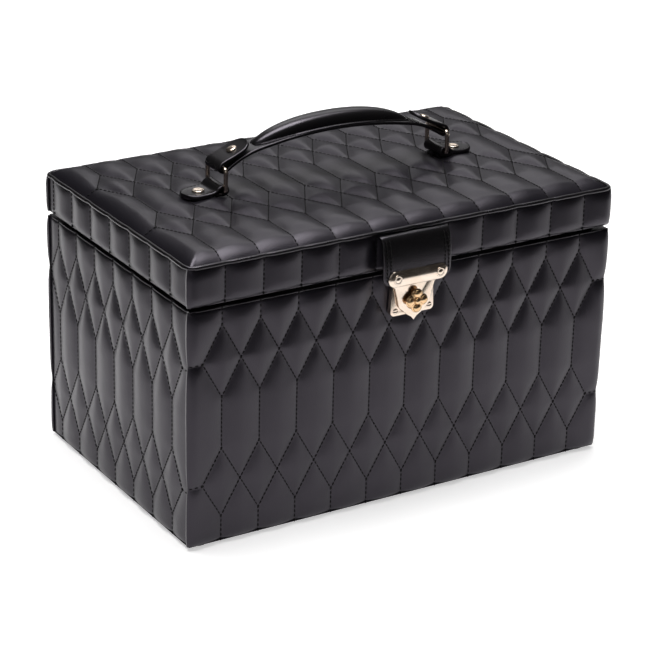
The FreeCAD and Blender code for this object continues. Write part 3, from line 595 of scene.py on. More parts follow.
def quilted_cover(node, body, side, v_span, seams, folds, rims, fullness, sewn):
    """One quilted cover: its seams and folds, its skin and the quilting, set on its body in place of its CAD
    node.
    """
    origin, across, out = FACES[side]
    half = half_length - 0.8 * MM if side in ("front", "back") else half_depth - COVER_DEEP

    def on_bed(point):
        return origin + across * point.x + Vector((0, 0, point.y)) - out * SEAM_BED, out

    def skin(u, v):
        edges = (half + u, half - u, v - v_span[0], v_span[1] - v)
        share = fullness(u, v)
        drop = 0.0
        for distance, radius in zip(edges, rims):
            share *= arch(distance, radius)
            drop = max(drop, 1 - arch(distance, min(radius, 2.5 * MM)))
        return (origin + across * u + Vector((0, 0, v)) - out * (SEAM_BED + 0.9 * MM * drop)), share

    def backing(point):
        return point - out * ((point - origin).dot(out) + COVER_DEEP)

    lines = edge_lines(f"{node}_lines", seams + folds, on_bed)
    cover = run_tree(grid_shell(node, (-half, half), v_span, skin, backing), quilting, {
        "Seams": lines, "Puff": FOAM_PUFF, "Softness": FOAM_SOFTNESS, "Thread bed": THREAD_BED,
        "Pucker": 2.2 * MM, "Pucker size": 3.5 * MM, "Leather": quilted_leather}, f"{node}_quilted")
    bpy.data.objects.remove(lines)
    stand_for(cover, body, "quilted_leather", node)
    sewn.append(edge_lines(f"{node}_seams", seams, on_bed))


def case_columns(side):
    """Where the case's seams start along one side, from left to right."""
    if side in ("front", "back"):
        return [number * FRONT_COLUMN for number in range(-5, 6)]
    mirror = -1 if side == "left" else 1
    return sorted(mirror * (SIDE_SHIFT + number * SIDE_COLUMN) for number in range(-3, 4))


def lid_columns(side):
    """The same for the upright seams of the lid's sides."""
    if side in ("front", "back"):
        return [LID_FRONT_SHIFT + number * FRONT_COLUMN for number in range(-5, 6)]
    mirror = -1 if side == "left" else 1
    return sorted(mirror * (LID_SIDE_SHIFT + number * LID_SIDE_COLUMN) for number in range(-3, 4))


for side in FACES:
    long_side = side in ("front", "back")
    edge = half_length if long_side else half_depth - COVER_DEEP
    spots = {"front": lock_spot, "back": hinge_spots}.get(side, [])

    def padding(u, v, spots=spots):
        """Less foam towards the foot of the case, under the fittings and at the ends' corners."""
        foot = min(1.0, 0.75 + 0.25 * v / (110 * MM))
        end = 1.0 if long_side else min(1.0, 0.45 + 0.55 * (edge - abs(u)) / (24 * MM))
        return foot * end * (0.35 + 0.65 * min(1.0, pressed(u, v, spots, 9 * MM)))

    folds, lid_folds = [], []
    if not long_side:
        folds = [((u, case_low.z), (u, case_high.z)) for u in (-edge, edge)]
        lid_folds = [((u, lid_low.z), (u, lid_high.z)) for u in (-edge, edge)]
    levels = FRONT_LEVELS if long_side else SIDE_LEVELS
    corner = CORNER_ROUND if long_side else 0.0
    quilted_cover(f"{side}_cover", "case", side, (case_low.z, case_high.z),
                  lattice(case_columns(side), levels, case_high.z, case_low.z, SEAM_END - edge,
                          edge - SEAM_END),
                  folds, (corner, corner, 1.5 * MM, 9.0 * MM), padding, case_sewn)
    quilted_cover(f"lid_{side}_cover", "lid", side, (lid_low.z, lid_high.z),
                  [((column, lid_low.z), (column, lid_high.z)) for column in lid_columns(side)], lid_folds,
                  (corner, corner, 3.0 * MM, 7.0 * MM), padding, lid_sewn)


# ---------------------------------------------------------------- leather edges
# Along the rims the skins are turned in over the boards, with a narrow rolled edge. It follows the padding,
# so it draws in a little at every seam. A bolder roll runs round the top of the lid's sides.

ROLL_STEP = 2.5 * MM
ROLL_SIDES = 10
CORNER_TUCK = 1.1 * MM


def rolled_edge(name, height, radius, inset, wave, columns_of, body, *names):
    """A rolled leather edge round the case or the lid, drawn in where the seams meet it."""
    path = []
    centre = Vector((0, middle_y, 0))
    for side in ("front", "right", "back", "left"):
        _, across, out = FACES[side]
        half, reach = (half_length, half_depth) if side in ("front", "back") else (half_depth, half_length)
        run = half - inset
        count = round(2 * run / ROLL_STEP)
        for number in range(count):
            u = -run + 2 * run * number / count
            gap = min(abs(u - column) for column in columns_of(side) + [-half, half])
            full = 1 - math.exp(-gap / (4 * MM))
            sway = noise.noise(Vector((u * 140, height * 50, reach * 9))) * 0.25 * MM
            tuck = CORNER_TUCK * max(0.0, 1 - (run - abs(u)) / (4 * MM))
            away = reach - inset + wave * full + sway - tuck
            path.append((centre + across * (u - math.copysign(tuck, u)) + out * away, out, full))
    points, faces = [], []
    for number, (point, out, full) in enumerate(path):
        if path[number - 1][1] != out:
            out = (out + path[number - 1][1]).normalized()
        after = (number + 1) % len(path)
        for turn in range(ROLL_SIDES):
            angle = 2 * math.pi * turn / ROLL_SIDES
            swell = radius * (0.85 + 0.15 * full)
            points.append(point + out * math.cos(angle) * swell
                          + Vector((0, 0, height + math.sin(angle) * swell * 0.9 + 0.15 * MM * full)))
            beside = (turn + 1) % ROLL_SIDES
            faces.append((number * ROLL_SIDES + turn, after * ROLL_SIDES + turn,
                          after * ROLL_SIDES + beside, number * ROLL_SIDES + beside))
    made = link_mesh(name, points, faces)
    made.data.materials.append(strap_leather)
    stand_for(made, body, "smooth_leather", *names)


rim_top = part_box("case_rim_binding")[1].z
rim_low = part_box("lid_rim_binding")[0].z
piping_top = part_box("lid_piping")[1].z
rolled_edge("case_rolled_rim", rim_top - 0.75 * MM, 0.75 * MM, 2.3 * MM, 0.7 * MM, case_columns, "case")
rolled_edge("lid_piping_rolled", piping_top - 1.1 * MM, 1.6 * MM, 1.2 * MM, 1.0 * MM, lid_columns, "lid",
            "lid_piping")


def bordering(name, inner_x, inner_y, section, material):
    """A band round a rectangle: a section of (inset, height) pairs, mitred at the corners."""
    points = []
    for sx, sy in ((-1, -1), (1, -1), (1, 1), (-1, 1)):
        for inset, height in section:
            points.append(Vector((sx * (inner_x - inset), middle_y + sy * (inner_y - inset), height)))
    count = len(section)
    faces = []
    for corner in range(4):
        after = (corner + 1) % 4
        for i in range(count):
            j = (i + 1) % count
            faces.append((corner * count + i, after * count + i, after * count + j, corner * count + j))
    made = link_mesh(name, points, faces)
    made.data.materials.append(material)
    return made


for name, body, low, high, wide in (("case_rim_binding", "case", rim_top - 1.6 * MM, rim_top, 9 * MM),
                                    ("lid_rim_binding", "lid", rim_low, rim_low + 1.6 * MM, 8 * MM)):
    section = [(1.9 * MM, low), (1.7 * MM, (low + high) / 2), (1.9 * MM, high), (2.6 * MM, high),
               (wide - 0.4 * MM, high), (wide, high - 0.4 * MM), (wide, low + 0.4 * MM),
                (wide - 0.4 * MM, low)]
    turned = bordering(f"{name}_turned", half_length, half_depth, section, strap_leather)
    stand_for(turned, body, "smooth_leather", name)


# ---------------------------------------------------------------- padded lid top
# A board with bevelled edges under foam and one piece of leather, quilted in the same lattice. The skin
# runs down over the bevel and is tucked in behind the rolled edge.

cushion_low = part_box("lid_cushion")[0]
BEVEL_WIDE = 11.0 * MM
BEVEL_FOOT = 196.2 * MM
BEVEL_TOP = 201.8 * MM
TOP_LEVELS = [middle_y + v * MM for v in (69.0, 45.5, 20.0, -14.0, -38.0, -62.0)]
TOP_INSET = 2.0 * MM
top_x, top_y = half_length - TOP_INSET, half_depth - TOP_INSET
tab_spots = []
for tab in ("left_anchor_tab", "right_anchor_tab"):
    low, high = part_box(tab)
    tab_spots.append((low.x + 3 * MM, high.x - 3 * MM, low.y + 3 * MM, high.y - 3 * MM))


def top_height(x, y):
    """Height of the seams' bed over the lid: a bevel all round and a slight crown."""
    inward = min(top_x - abs(x), top_y - abs(y - middle_y))
    share = min(1.0, max(0.0, inward / BEVEL_WIDE))
    crown = 0.5 * MM * (1 - (x / half_length) ** 2) * (1 - ((y - middle_y) / half_depth) ** 2)
    return BEVEL_FOOT + (BEVEL_TOP - BEVEL_FOOT) * (1 - (1 - share) ** 1.6) + crown * share


def on_top(point):
    """A point of the seams' bed and the way its thread faces."""
    return Vector((point.x, point.y, top_height(point.x, point.y))), Vector((0, 0, 1))


def top_skin(x, y):
    """A point of the top's skin and its fullness: firm over the bevel, its mitres and under the tabs."""
    inward = min(top_x - abs(x), top_y - abs(y - middle_y))
    mitre = abs((top_x - abs(x)) - (top_y - abs(y - middle_y)))
    corner = 1.0 if inward > BEVEL_WIDE else 0.4 + 0.6 * min(1.0, mitre / (6 * MM))
    shoulder = 0.22 + 0.78 * min(1.0, max(0.0, inward - 0.8 * BEVEL_WIDE) / (11 * MM))
    under_tabs = 0.1 + 0.9 * min(1.0, pressed(x, y, tab_spots, 9 * MM))
    share = arch(inward, 2 * MM) * corner * shoulder * under_tabs
    return Vector((x, y, top_height(x, y))), share


top_lines = lattice(case_columns("front"), TOP_LEVELS, middle_y + top_y, middle_y - top_y, -top_x, top_x)
top_seams = edge_lines("lid_top_seams", top_lines, on_top, 2.5 * MM)
lid_top = run_tree(
    grid_shell("lid_top_skin", (-top_x, top_x), (middle_y - top_y, middle_y + top_y), top_skin,
               lambda point: Vector((point.x, point.y, cushion_low.z))),
    quilting, {"Seams": top_seams, "Puff": 4.4 * MM, "Softness": 8.5 * MM, "Thread bed": THREAD_BED,
               "Pucker": 3.0 * MM, "Pucker size": 3.5 * MM, "Leather": quilted_leather}, "lid_top_quilted")
stand_for(lid_top, "lid", "quilted_leather", "lid_cushion")
lid_sewn.append(top_seams)


# ---------------------------------------------------------------- seam stitches
# Black polyester thread, about eight stitches to the inch, laid in the bed of each seam.

def stitch_tree():
    """Places a stitch at every pitch along the seams, lifted off the skin."""
    tree, given, result = geometry_tree("stitch_rows", [
        ("Pitch", "NodeSocketFloat"), ("Length", "NodeSocketFloat"), ("Thickness", "NodeSocketFloat"),
        ("Lift", "NodeSocketFloat"), ("Thread", "NodeSocketMaterial")])
    rows = add(tree, "GeometryNodeMeshToCurve")
    tree.links.new(given.outputs["Geometry"], rows.inputs["Mesh"])
    spaced = add(tree, "GeometryNodeResampleCurve", mode="LENGTH")
    tree.links.new(rows.outputs["Curve"], spaced.inputs["Curve"])
    tree.links.new(given.outputs["Pitch"], spaced.inputs["Length"])
    facing = add(tree, "GeometryNodeInputNamedAttribute", data_type="FLOAT_VECTOR")
    facing.inputs["Name"].default_value = "facing"
    raised = add(tree, "GeometryNodeSetPosition")
    tree.links.new(spaced.outputs["Curve"], raised.inputs["Geometry"])
    tree.links.new(scaled_vector(tree, facing.outputs["Attribute"], given.outputs["Lift"]),
                   raised.inputs["Offset"])
    stitch = add(tree, "GeometryNodeMeshUVSphere")
    stitch.inputs["Segments"].default_value = 6
    stitch.inputs["Rings"].default_value = 4
    stitch.inputs["Radius"].default_value = 0.5
    size = add(tree, "ShaderNodeCombineXYZ")
    for axis, label in (("X", "Thickness"), ("Y", "Thickness"), ("Z", "Length")):
        tree.links.new(given.outputs[label], size.inputs[axis])
    shaped = add(tree, "GeometryNodeTransform")
    tree.links.new(stitch.outputs["Mesh"], shaped.inputs["Geometry"])
    tree.links.new(size.outputs["Vector"], shaped.inputs["Scale"])
    turned = add(tree, "FunctionNodeAlignRotationToVector", axis="Z")
    tree.links.new(add(tree, "GeometryNodeInputTangent").outputs["Tangent"], turned.inputs["Vector"])
    placed = add(tree, "GeometryNodeInstanceOnPoints")
    tree.links.new(raised.outputs["Geometry"], placed.inputs["Points"])
    tree.links.new(shaped.outputs["Geometry"], placed.inputs["Instance"])
    tree.links.new(turned.outputs["Rotation"], placed.inputs["Rotation"])
    end_tree(tree, placed.outputs["Instances"], given.outputs["Thread"], result)
    return tree


stitching = stitch_tree()

thread, tree, shader, place = new_material("black_thread")
twist = noise_at(tree, place, 900.0, 2.0)
tree.links.new(shades(tree, twist, (0.0015, 0.0015, 0.0015), (0.010, 0.009, 0.009)),
               shader.inputs["Base Color"])
shader.inputs["Roughness"].default_value = 0.6
shader.inputs["Specular IOR Level"].default_value = 0.15


BOLD_STITCH = (3.0 * MM, 2.6 * MM, 0.95 * MM, 0.15 * MM)


def sew(name, seams, body, slot, stitch):
    """Joins seam lines into one piece of stitching, of (pitch, length, thickness, lift), on a body."""
    joined = bmesh.new()
    for seam in seams:
        joined.from_mesh(seam.data)
        bpy.data.objects.remove(seam)
    mesh = bpy.data.meshes.new(name)
    joined.to_mesh(mesh)
    joined.free()
    rows = bpy.data.objects.new(name, mesh)
    scene.collection.objects.link(rows)
    pitch, length, thickness, lift = stitch
    made = run_tree(rows, stitching, {"Pitch": pitch, "Length": length, "Thickness": thickness,
                                      "Lift": lift, "Thread": thread}, name)
    stand_for(made, body, slot)


sew("case_stitches", case_sewn, "case", "quilted_leather", BOLD_STITCH)
sew("lid_stitches", lid_sewn, "lid", "quilted_leather", BOLD_STITCH)


# ---------------------------------------------------------------- mirror
# The lid is lined with thin suede. Under it a bevelled glass mirror is held by a soft frame of padded suede.

frame_low, frame_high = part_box("mirror_frame")
board_low, board_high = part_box("lid_right_board")
wall_in = half_length - board_low.x
under_frame = half_length - frame_high.x + 3 * MM
wall_low, wall_high = board_low.z + 0.3 * MM, board_high.z
wall_section = [(wall_in - 0.2 * MM, wall_low), (wall_in + 0.3 * MM, wall_low),
                (wall_in + 0.6 * MM, wall_low + 0.4 * MM), (wall_in + 0.6 * MM, wall_high - 0.6 * MM),
                (under_frame, wall_high - 0.6 * MM), (under_frame, wall_high),
                 (wall_in - 0.2 * MM, wall_high)]
lid_walls = bordering("lid_wall_lining", half_length, half_depth, wall_section, black_suede)
stand_for(lid_walls, "lid", "suede_lining")
glass_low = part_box("mirror")[0]
border = glass_low.x - frame_low.x
section = [(0.0, frame_high.z), (0.0, frame_high.z - 1.2 * MM), (0.8 * MM, frame_low.z + 1.2 * MM),
           (3 * MM, frame_low.z + 0.3 * MM), (8 * MM, frame_low.z), (border / 2, frame_low.z - 0.2 * MM),
           (border - 8 * MM, frame_low.z), (border - 3 * MM, frame_low.z + 0.3 * MM),
           (border - 0.8 * MM, frame_low.z + 1.2 * MM), (border, frame_high.z - 1.2 * MM),
           (border, frame_high.z)]
padded_frame = bordering("mirror_frame_padded", frame_high.x, (frame_high.y - frame_low.y) / 2, section,
                         black_suede)
stand_for(padded_frame, "lid", "suede_lining", "mirror_frame")

silvered, tree, shader, place = new_material("silvered_glass")
haze = noise_at(tree, place, 9.0, 3.0)
tree.links.new(shades(tree, haze, (0.86, 0.88, 0.88), (0.93, 0.94, 0.94)), shader.inputs["Base Color"])
shader.inputs["Metallic"].default_value = 1.0
tree.links.new(maths(tree, "MULTIPLY_ADD", haze, 0.03, 0.01), shader.inputs["Roughness"])
stand_for(softened("mirror", 0.8 * MM, silvered), "lid", "mirror_glass", "mirror")


# ---------------------------------------------------------------- gold metal
# All the metal is stamped or turned brass in a polished pale gold plate, with fine wiping marks.

wiping, given, result = effect_group(
    "wiping_marks", [("Vector", "NodeSocketVector", None)], ["Marks", "Smears"])
stretch = add(wiping, "ShaderNodeMapping")
stretch.inputs["Scale"].default_value = (1.0, 1.0, 0.12)
stretch.inputs["Rotation"].default_value = (0.3, 0.5, 0.2)
wiping.links.new(given.outputs["Vector"], stretch.inputs["Vector"])
wiping.links.new(noise_at(wiping, stretch.outputs["Vector"], 2600.0, 2.0), result.inputs["Marks"])
wiping.links.new(noise_at(wiping, given.outputs["Vector"], 90.0, 3.0), result.inputs["Smears"])


def polished(name, deep, pale, roughness):
    """A polished metal with fine marks and faint smears."""
    material, tree, shader, place = new_material(name)
    marks = add(tree, "ShaderNodeGroup", node_tree=wiping)
    tree.links.new(place, marks.inputs["Vector"])
    tree.links.new(shades(tree, marks.outputs["Smears"], deep, pale), shader.inputs["Base Color"])
    shader.inputs["Metallic"].default_value = 1.0
    gloss = maths(tree, "MULTIPLY_ADD", marks.outputs["Smears"], 0.10, roughness)
    tree.links.new(maths(tree, "MULTIPLY_ADD", marks.outputs["Marks"], 0.04, gloss),
                   shader.inputs["Roughness"])
    emboss(tree, shader, marks.outputs["Marks"], 0.06, 0.0001)
    return material


gold = polished("pale_gold", (0.62, 0.49, 0.38), (0.79, 0.70, 0.62), 0.13)
deep_gold = polished("deep_gold", (0.50, 0.29, 0.13), (0.86, 0.62, 0.38), 0.16)
finish_nodes(gold, "hinge_pins", "left_ring", "right_ring", "knob_cam")


def fastener_tree():
    """Sets a fastener's head on every point, facing the way its point says."""
    tree, given, result = geometry_tree("fasteners", [("Head", "NodeSocketObject"),
                                                      ("Metal", "NodeSocketMaterial")])
    head = add(tree, "GeometryNodeObjectInfo")
    tree.links.new(given.outputs["Head"], head.inputs["Object"])
    facing = add(tree, "GeometryNodeInputNamedAttribute", data_type="FLOAT_VECTOR")
    facing.inputs["Name"].default_value = "facing"
    turned = add(tree, "FunctionNodeAlignRotationToVector", axis="Z")
    tree.links.new(facing.outputs["Attribute"], turned.inputs["Vector"])
    placed = add(tree, "GeometryNodeInstanceOnPoints")
    tree.links.new(given.outputs["Geometry"], placed.inputs["Points"])
    tree.links.new(head.outputs["Geometry"], placed.inputs["Instance"])
    tree.links.new(turned.outputs["Rotation"], placed.inputs["Rotation"])
    end_tree(tree, placed.outputs["Instances"], given.outputs["Metal"], result)
    return tree


fastening = fastener_tree()


SLOT_HALF, SLOT_DEEP = 0.45 * MM, 0.45 * MM


def turned_head(name, profile, sides=20, slotted=False):
    """A turned head from (radius, height) pairs in mm, from its rim to its crown, slotted for a screw."""
    points, faces = [], []
    for radius, height in profile:
        for turn in range(sides):
            angle = 2 * math.pi * turn / sides
            x, y = radius * MM * math.cos(angle), radius * MM * math.sin(angle)
            sunk = SLOT_DEEP if slotted and abs(y) < SLOT_HALF and height > 0.2 else 0.0
            points.append(Vector((x, y, height * MM - sunk)))
    for level in range(len(profile) - 1):
        for turn in range(sides):
            after = (turn + 1) % sides
            faces.append((level * sides + turn, level * sides + after, (level + 1) * sides + after,
                          (level + 1) * sides + turn))
    faces.append(tuple(range(sides)))
    faces.append(tuple((len(profile) - 1) * sides + turn for turn in range(sides)))
    return link_mesh(name, points, faces)


def fasten(name, head, spots, body, node):
    """One body's row of fasteners at (point, direction) spots, in place of a CAD node."""
    row = seam_edges(name, [tuple(point) for point, _ in spots], [], [out for _, out in spots])
    stand_for(run_tree(row, fastening, {"Head": head, "Metal": gold}, name), body, "gold_metal", node)


# ---------------------------------------------------------------- hinges
# Two knuckle hinges of gold plated steel on the back, each leaf held by countersunk slotted screws.

for node, body in (("case_hinge_leaves", "case"), ("lid_hinge_leaves", "lid")):
    stand_for(softened(node, 0.25 * MM, gold), body, "gold_metal", node)
SCREW_HEAD = [(2.0, -0.4), (2.0, 0.1), (1.9, 0.35), (1.5, 0.6), (0.8, 0.75), (0.2, 0.8)]
SCREW_SPACING = 12 * MM
screw_head = turned_head("slotted_head", SCREW_HEAD, slotted=True)
for node, body in (("case_hinge_screws", "case"), ("lid_hinge_screws", "lid")):
    low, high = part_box(node)
    spots = []
    for hinge in (-1, 1):
        for offset in (SCREW_SPACING, -SCREW_SPACING):
            x = hinge * (high.x - 2 * MM - SCREW_SPACING) + offset
            spots.append((Vector((x, high.y - 0.8 * MM, (low.z + high.z) / 2)), Vector((0, 1, 0))))
    fasten(f"{node}_heads", screw_head, spots, body, node)


# ---------------------------------------------------------------- lock plate
# A stamped plate on the case's front, with a recess for the hasp and two slotted screws.

stand_for(softened("lock_plate", 0.4 * MM, gold, 3), "case", "gold_metal", "lock_plate")
FORWARD = Vector((0, -1, 0))
low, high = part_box("lock_plate_screws")
plate_spots = [(Vector((x, low.y + 1.0 * MM, (low.z + high.z) / 2)), FORWARD)
               for x in (low.x + 2 * MM, high.x - 2 * MM)]
fasten("lock_plate_screw_heads", screw_head, plate_spots, "case", "lock_plate_screws")


# ---------------------------------------------------------------- closure strap
# A wide strap of two leathers with a thin filler, turned under the lid's rolled edge, stitched twice along
# each side. It swings down over the gap between the lid and the case.

def smooth_path(corners, step):
    """A smooth line through corners as evenly spaced points."""
    corners = [Vector(corner) for corner in corners]
    ends = [corners[0] * 2 - corners[1]] + corners + [corners[-1] * 2 - corners[-2]]
    fine = []
    for i in range(1, len(ends) - 2):
        a, b, c, d = ends[i - 1:i + 3]
        for number in range(24):
            t = number / 24
            fine.append(0.5 * ((2 * b) + (c - a) * t + (2 * a - 5 * b + 4 * c - d) * t ** 2
                               + (3 * b - a - 3 * c + d) * t ** 3))
    fine.append(corners[-1])
    lengths = [0.0]
    for first, second in zip(fine, fine[1:]):
        lengths.append(lengths[-1] + (second - first).length)
    count = max(2, round(lengths[-1] / step))
    points, index = [], 0
    for number in range(count + 1):
        want = lengths[-1] * number / count
        while index < len(lengths) - 2 and lengths[index + 1] < want:
            index += 1
        share = (want - lengths[index]) / max(1e-9, lengths[index + 1] - lengths[index])
        points.append(fine[index].lerp(fine[index + 1], min(1.0, share)))
    return points, lengths[-1]


def frames_along(points, sideways):
    """At each point of a path: the point, its place along the path and the way out of the strap's face."""
    rows, travelled = [], 0.0
    for number, point in enumerate(points):
        before = points[max(0, number - 1)]
        after = points[min(len(points) - 1, number + 1)]
        if number:
            travelled += (point - points[number - 1]).length
        rows.append((point, travelled, (after - before).normalized().cross(sideways).normalized()))
    return rows


def strap(name, rows, sideways, half_at, thick_at, dome, bead, material):
    """A leather strap along a path: rounded edges, a slightly full middle and a bead along each edge."""
    across = (-0.8, -0.55, 0.0, 0.55, 0.8)
    points = []
    for point, place, out in rows:
        half, thick = half_at(place), thick_at(place)
        edge = min(thick / 2, half * 0.9)
        flat = half - edge
        rounding = [math.pi / 2 + math.pi * number / 8 for number in range(9)]
        ring = [(edge * math.cos(angle) - flat, (thick / 2 + bead / 2) * math.sin(angle))
                for angle in rounding]
        ring += [(share * flat, -thick / 2) for share in across]
        ring += [(flat - edge * math.cos(angle), -(thick / 2 + bead / 2) * math.sin(angle))
                 for angle in rounding]
        ring += [(share * flat, thick / 2 + dome * (1 - share * share)) for share in reversed(across)]
        points += [point + sideways * side + out * rise for side, rise in ring]
    count = len(ring)
    faces = []
    for row in range(len(rows) - 1):
        for i in range(count):
            j = (i + 1) % count
            faces.append((row * count + i, row * count + j, (row + 1) * count + j, (row + 1) * count + i))
    faces.append(tuple(range(count)))
    faces.append(tuple((len(rows) - 1) * count + i for i in range(count)))
    made = link_mesh(name, points, faces)
    made.data.materials.append(material)
    return made


def strap_seam(rows, sideways, half_at, margin, sign, thick_at, span):
    """A row of stitches at a margin inside one edge of a strap."""
    points, outs = [], []
    for point, place, out in rows:
        if span[0] <= place <= span[1]:
            side = max(0.0, half_at(place) - margin)
            points.append(tuple(point + sideways * sign * side + out * thick_at(place) / 2))
            outs.append(tuple(out))
    return seam_edges("strap_seam", points, [(i, i + 1) for i in range(len(points) - 1)], outs)


strap_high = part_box("closure_strap")[1]
front_y = case_low.y
strap_half = strap_high.x
# Out from the case's front and up from the strap's top, in mm.
STRAP_PROFILE = [(1.9, -0.9), (3.3, -1.0), (4.9, -2.8), (6.2, -6.0), (7.1, -10.0), (7.7, -14.5), (8.0, -20.0),
                 (8.0, -28.0), (7.9, -33.2)]
STRAP_CORNER = 6.0 * MM
STRAP_THICK, STRAP_ROOT_THICK, STRAP_TAPER = 2.6 * MM, 1.2 * MM, 5.0 * MM
STRAP_STITCH = (2.6 * MM, 2.3 * MM, 0.9 * MM, 0.35 * MM)
RIGHT = Vector((1, 0, 0))
path, path_length = smooth_path([(0, front_y - out * MM, strap_high.z + up * MM)
                                 for out, up in STRAP_PROFILE],
                                1.0 * MM)
closure_rows = frames_along(path, RIGHT)


def closure_half(place):
    """Half the strap's width, with its lower corners cut round."""
    left = max(0.0, STRAP_CORNER - (path_length - place))
    return strap_half - STRAP_CORNER + math.sqrt(max(0.0, STRAP_CORNER ** 2 - left ** 2))


def closure_thick(place):
    """The strap's thickness, skived thin where it is tucked in."""
    return STRAP_ROOT_THICK + (STRAP_THICK - STRAP_ROOT_THICK) * min(1.0, place / STRAP_TAPER)


closure = strap("closure_strap_sewn", closure_rows, RIGHT, closure_half, closure_thick, 0.35 * MM, 0.1 * MM,
                strap_leather)
stand_for(closure, "closure", "smooth_leather", "closure_strap")
closure_seams = [strap_seam(closure_rows, RIGHT, closure_half, margin, sign, closure_thick,
                            (4 * MM, path_length - 2 * MM))
                 for margin in (2.6 * MM, 5.4 * MM) for sign in (-1, 1)]
sew("closure_stitches", closure_seams, "closure", "smooth_leather", STRAP_STITCH)


# ---------------------------------------------------------------- hasp and knob
# The hasp is a pointed flap behind the strap, clamped by a bar in front with two rivets. A four-leaved knob
# on it turns a cam behind, which holds in the lock plate.

stand_for(softened("hasp_flap", 0.35 * MM, gold, 3), "closure", "gold_metal", "hasp_flap")


def ring_plate(name, outline, spot, profile, material):
    """A plate from an outline of (u, v) and a profile of (share of its size, out), from back to front."""
    points, count = [], len(outline)
    for share, out in profile:
        points += [spot(u * share[0], v * share[1], out) for u, v in outline]
    faces = []
    for level in range(len(profile) - 1):
        for i in range(count):
            j = (i + 1) % count
            faces.append((level * count + i, level * count + j, (level + 1) * count + j,
                          (level + 1) * count + i))
    faces.append(tuple(range(count)))
    faces.append(tuple((len(profile) - 1) * count + i for i in range(count)))
    made = link_mesh(name, points, faces)
    made.data.materials.append(material)
    return made


bar_low, bar_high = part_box("hasp_bar")
bar_half, bar_rise = bar_high.x, (bar_high.z - bar_low.z) / 2
bar_z = (bar_high.z + bar_low.z) / 2
BAR_RISE, BAR_SLOPE = 1.45, 5.3
bar_outline = []
for end in (1, -1):
    for number in range(13):
        angle = math.pi / 2 - math.pi * number / 12
        bar_outline.append((end * (bar_half - bar_rise + bar_rise * math.cos(angle)),
                            end * bar_rise * math.sin(angle)))


def inward(distance):
    """The bar's size, across and up, that much inside its outline, as shares of the whole."""
    return ((bar_half - distance * MM) / bar_half, (bar_rise - distance * MM) / bar_rise)


bar_profile = [(inward(0.3), -0.2 * MM), (inward(0.0), 0.1 * MM), (inward(0.0), 0.5 * MM)]
bar_profile += [(inward(step), (0.6 + BAR_RISE * (1 - (1 - step / BAR_SLOPE) ** 2)) * MM)
                for step in (0.15, 0.6, 1.2, 1.9, 2.7, 3.6, 4.5, 5.2)]
hasp_bar = ring_plate("hasp_bar_pressed", bar_outline,
                      lambda u, v, out: Vector((u, bar_high.y - out, bar_z + v)), bar_profile, gold)
stand_for(hasp_bar, "closure", "gold_metal", "hasp_bar")
rivet = turned_head("rivet_head", [(3.1, -0.7), (3.4, 0.0), (3.3, 0.5), (2.9, 0.75), (2.3, 0.65), (1.8, 0.55),
                                   (1.4, 0.85), (0.9, 1.1), (0.25, 1.2)], 32)
rivet_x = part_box("hasp_rivets")[1].x - 2 * MM
fasten("hasp_rivet_heads", rivet,
       [(Vector((side * rivet_x, bar_low.y + 0.35 * MM, bar_z)), FORWARD) for side in (-1, 1)],
       "closure", "hasp_rivets")

knob_low, knob_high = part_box("turn_knob")
knob_z = (knob_low.z + knob_high.z) / 2
knob_reach = knob_high.x
KNOB_THICK = 3.6 * MM
knob_back = knob_low.y + KNOB_THICK
LEAVES = 4
LEAF_PLACE, LEAF_SIZE, LEAF_RISE = 5.0 * MM, 2.9 * MM, 1.3 * MM
BOSS_SIZE, BOSS_RISE = 2.5 * MM, 2.0 * MM
SPINDLE_RADIUS, SPINDLE_LENGTH = 1.6 * MM, 6.0 * MM


def on_knob(u, v, out):
    return Vector((u, knob_back - out, knob_z + v))


def leaf_radius(angle):
    """The knob's outline: four round leaves."""
    return knob_reach * (0.70 + 0.30 * abs(math.cos(LEAVES * angle / 2)) ** 0.8)


def around(radius_at, count):
    """A closed outline as (u, v) pairs."""
    turns = [2 * math.pi * number / count for number in range(count)]
    return [(radius_at(angle) * math.cos(angle), radius_at(angle) * math.sin(angle)) for angle in turns]


def domes(name, centres, radius, rise, sides=20, levels=12):
    """Smooth round bosses that face forward, as closed shells in one mesh."""
    points, faces = [], []
    for centre in centres:
        start = len(points)
        for level in range(1, levels):
            tilt = math.pi * level / levels
            for turn in range(sides):
                angle = 2 * math.pi * turn / sides
                points.append(centre + Vector((radius * math.sin(tilt) * math.cos(angle),
                                               -rise * math.cos(tilt),
                                               radius * math.sin(tilt) * math.sin(angle))))
        for level in range(levels - 2):
            for turn in range(sides):
                after = (turn + 1) % sides
                faces.append((start + level * sides + turn, start + level * sides + after,
                              start + (level + 1) * sides + after, start + (level + 1) * sides + turn))
        faces.append(tuple(start + turn for turn in range(sides)))
        faces.append(tuple(start + (levels - 2) * sides + turn for turn in range(sides)))
    made = link_mesh(name, points, faces)
    made.data.materials.append(deep_gold)
    return made


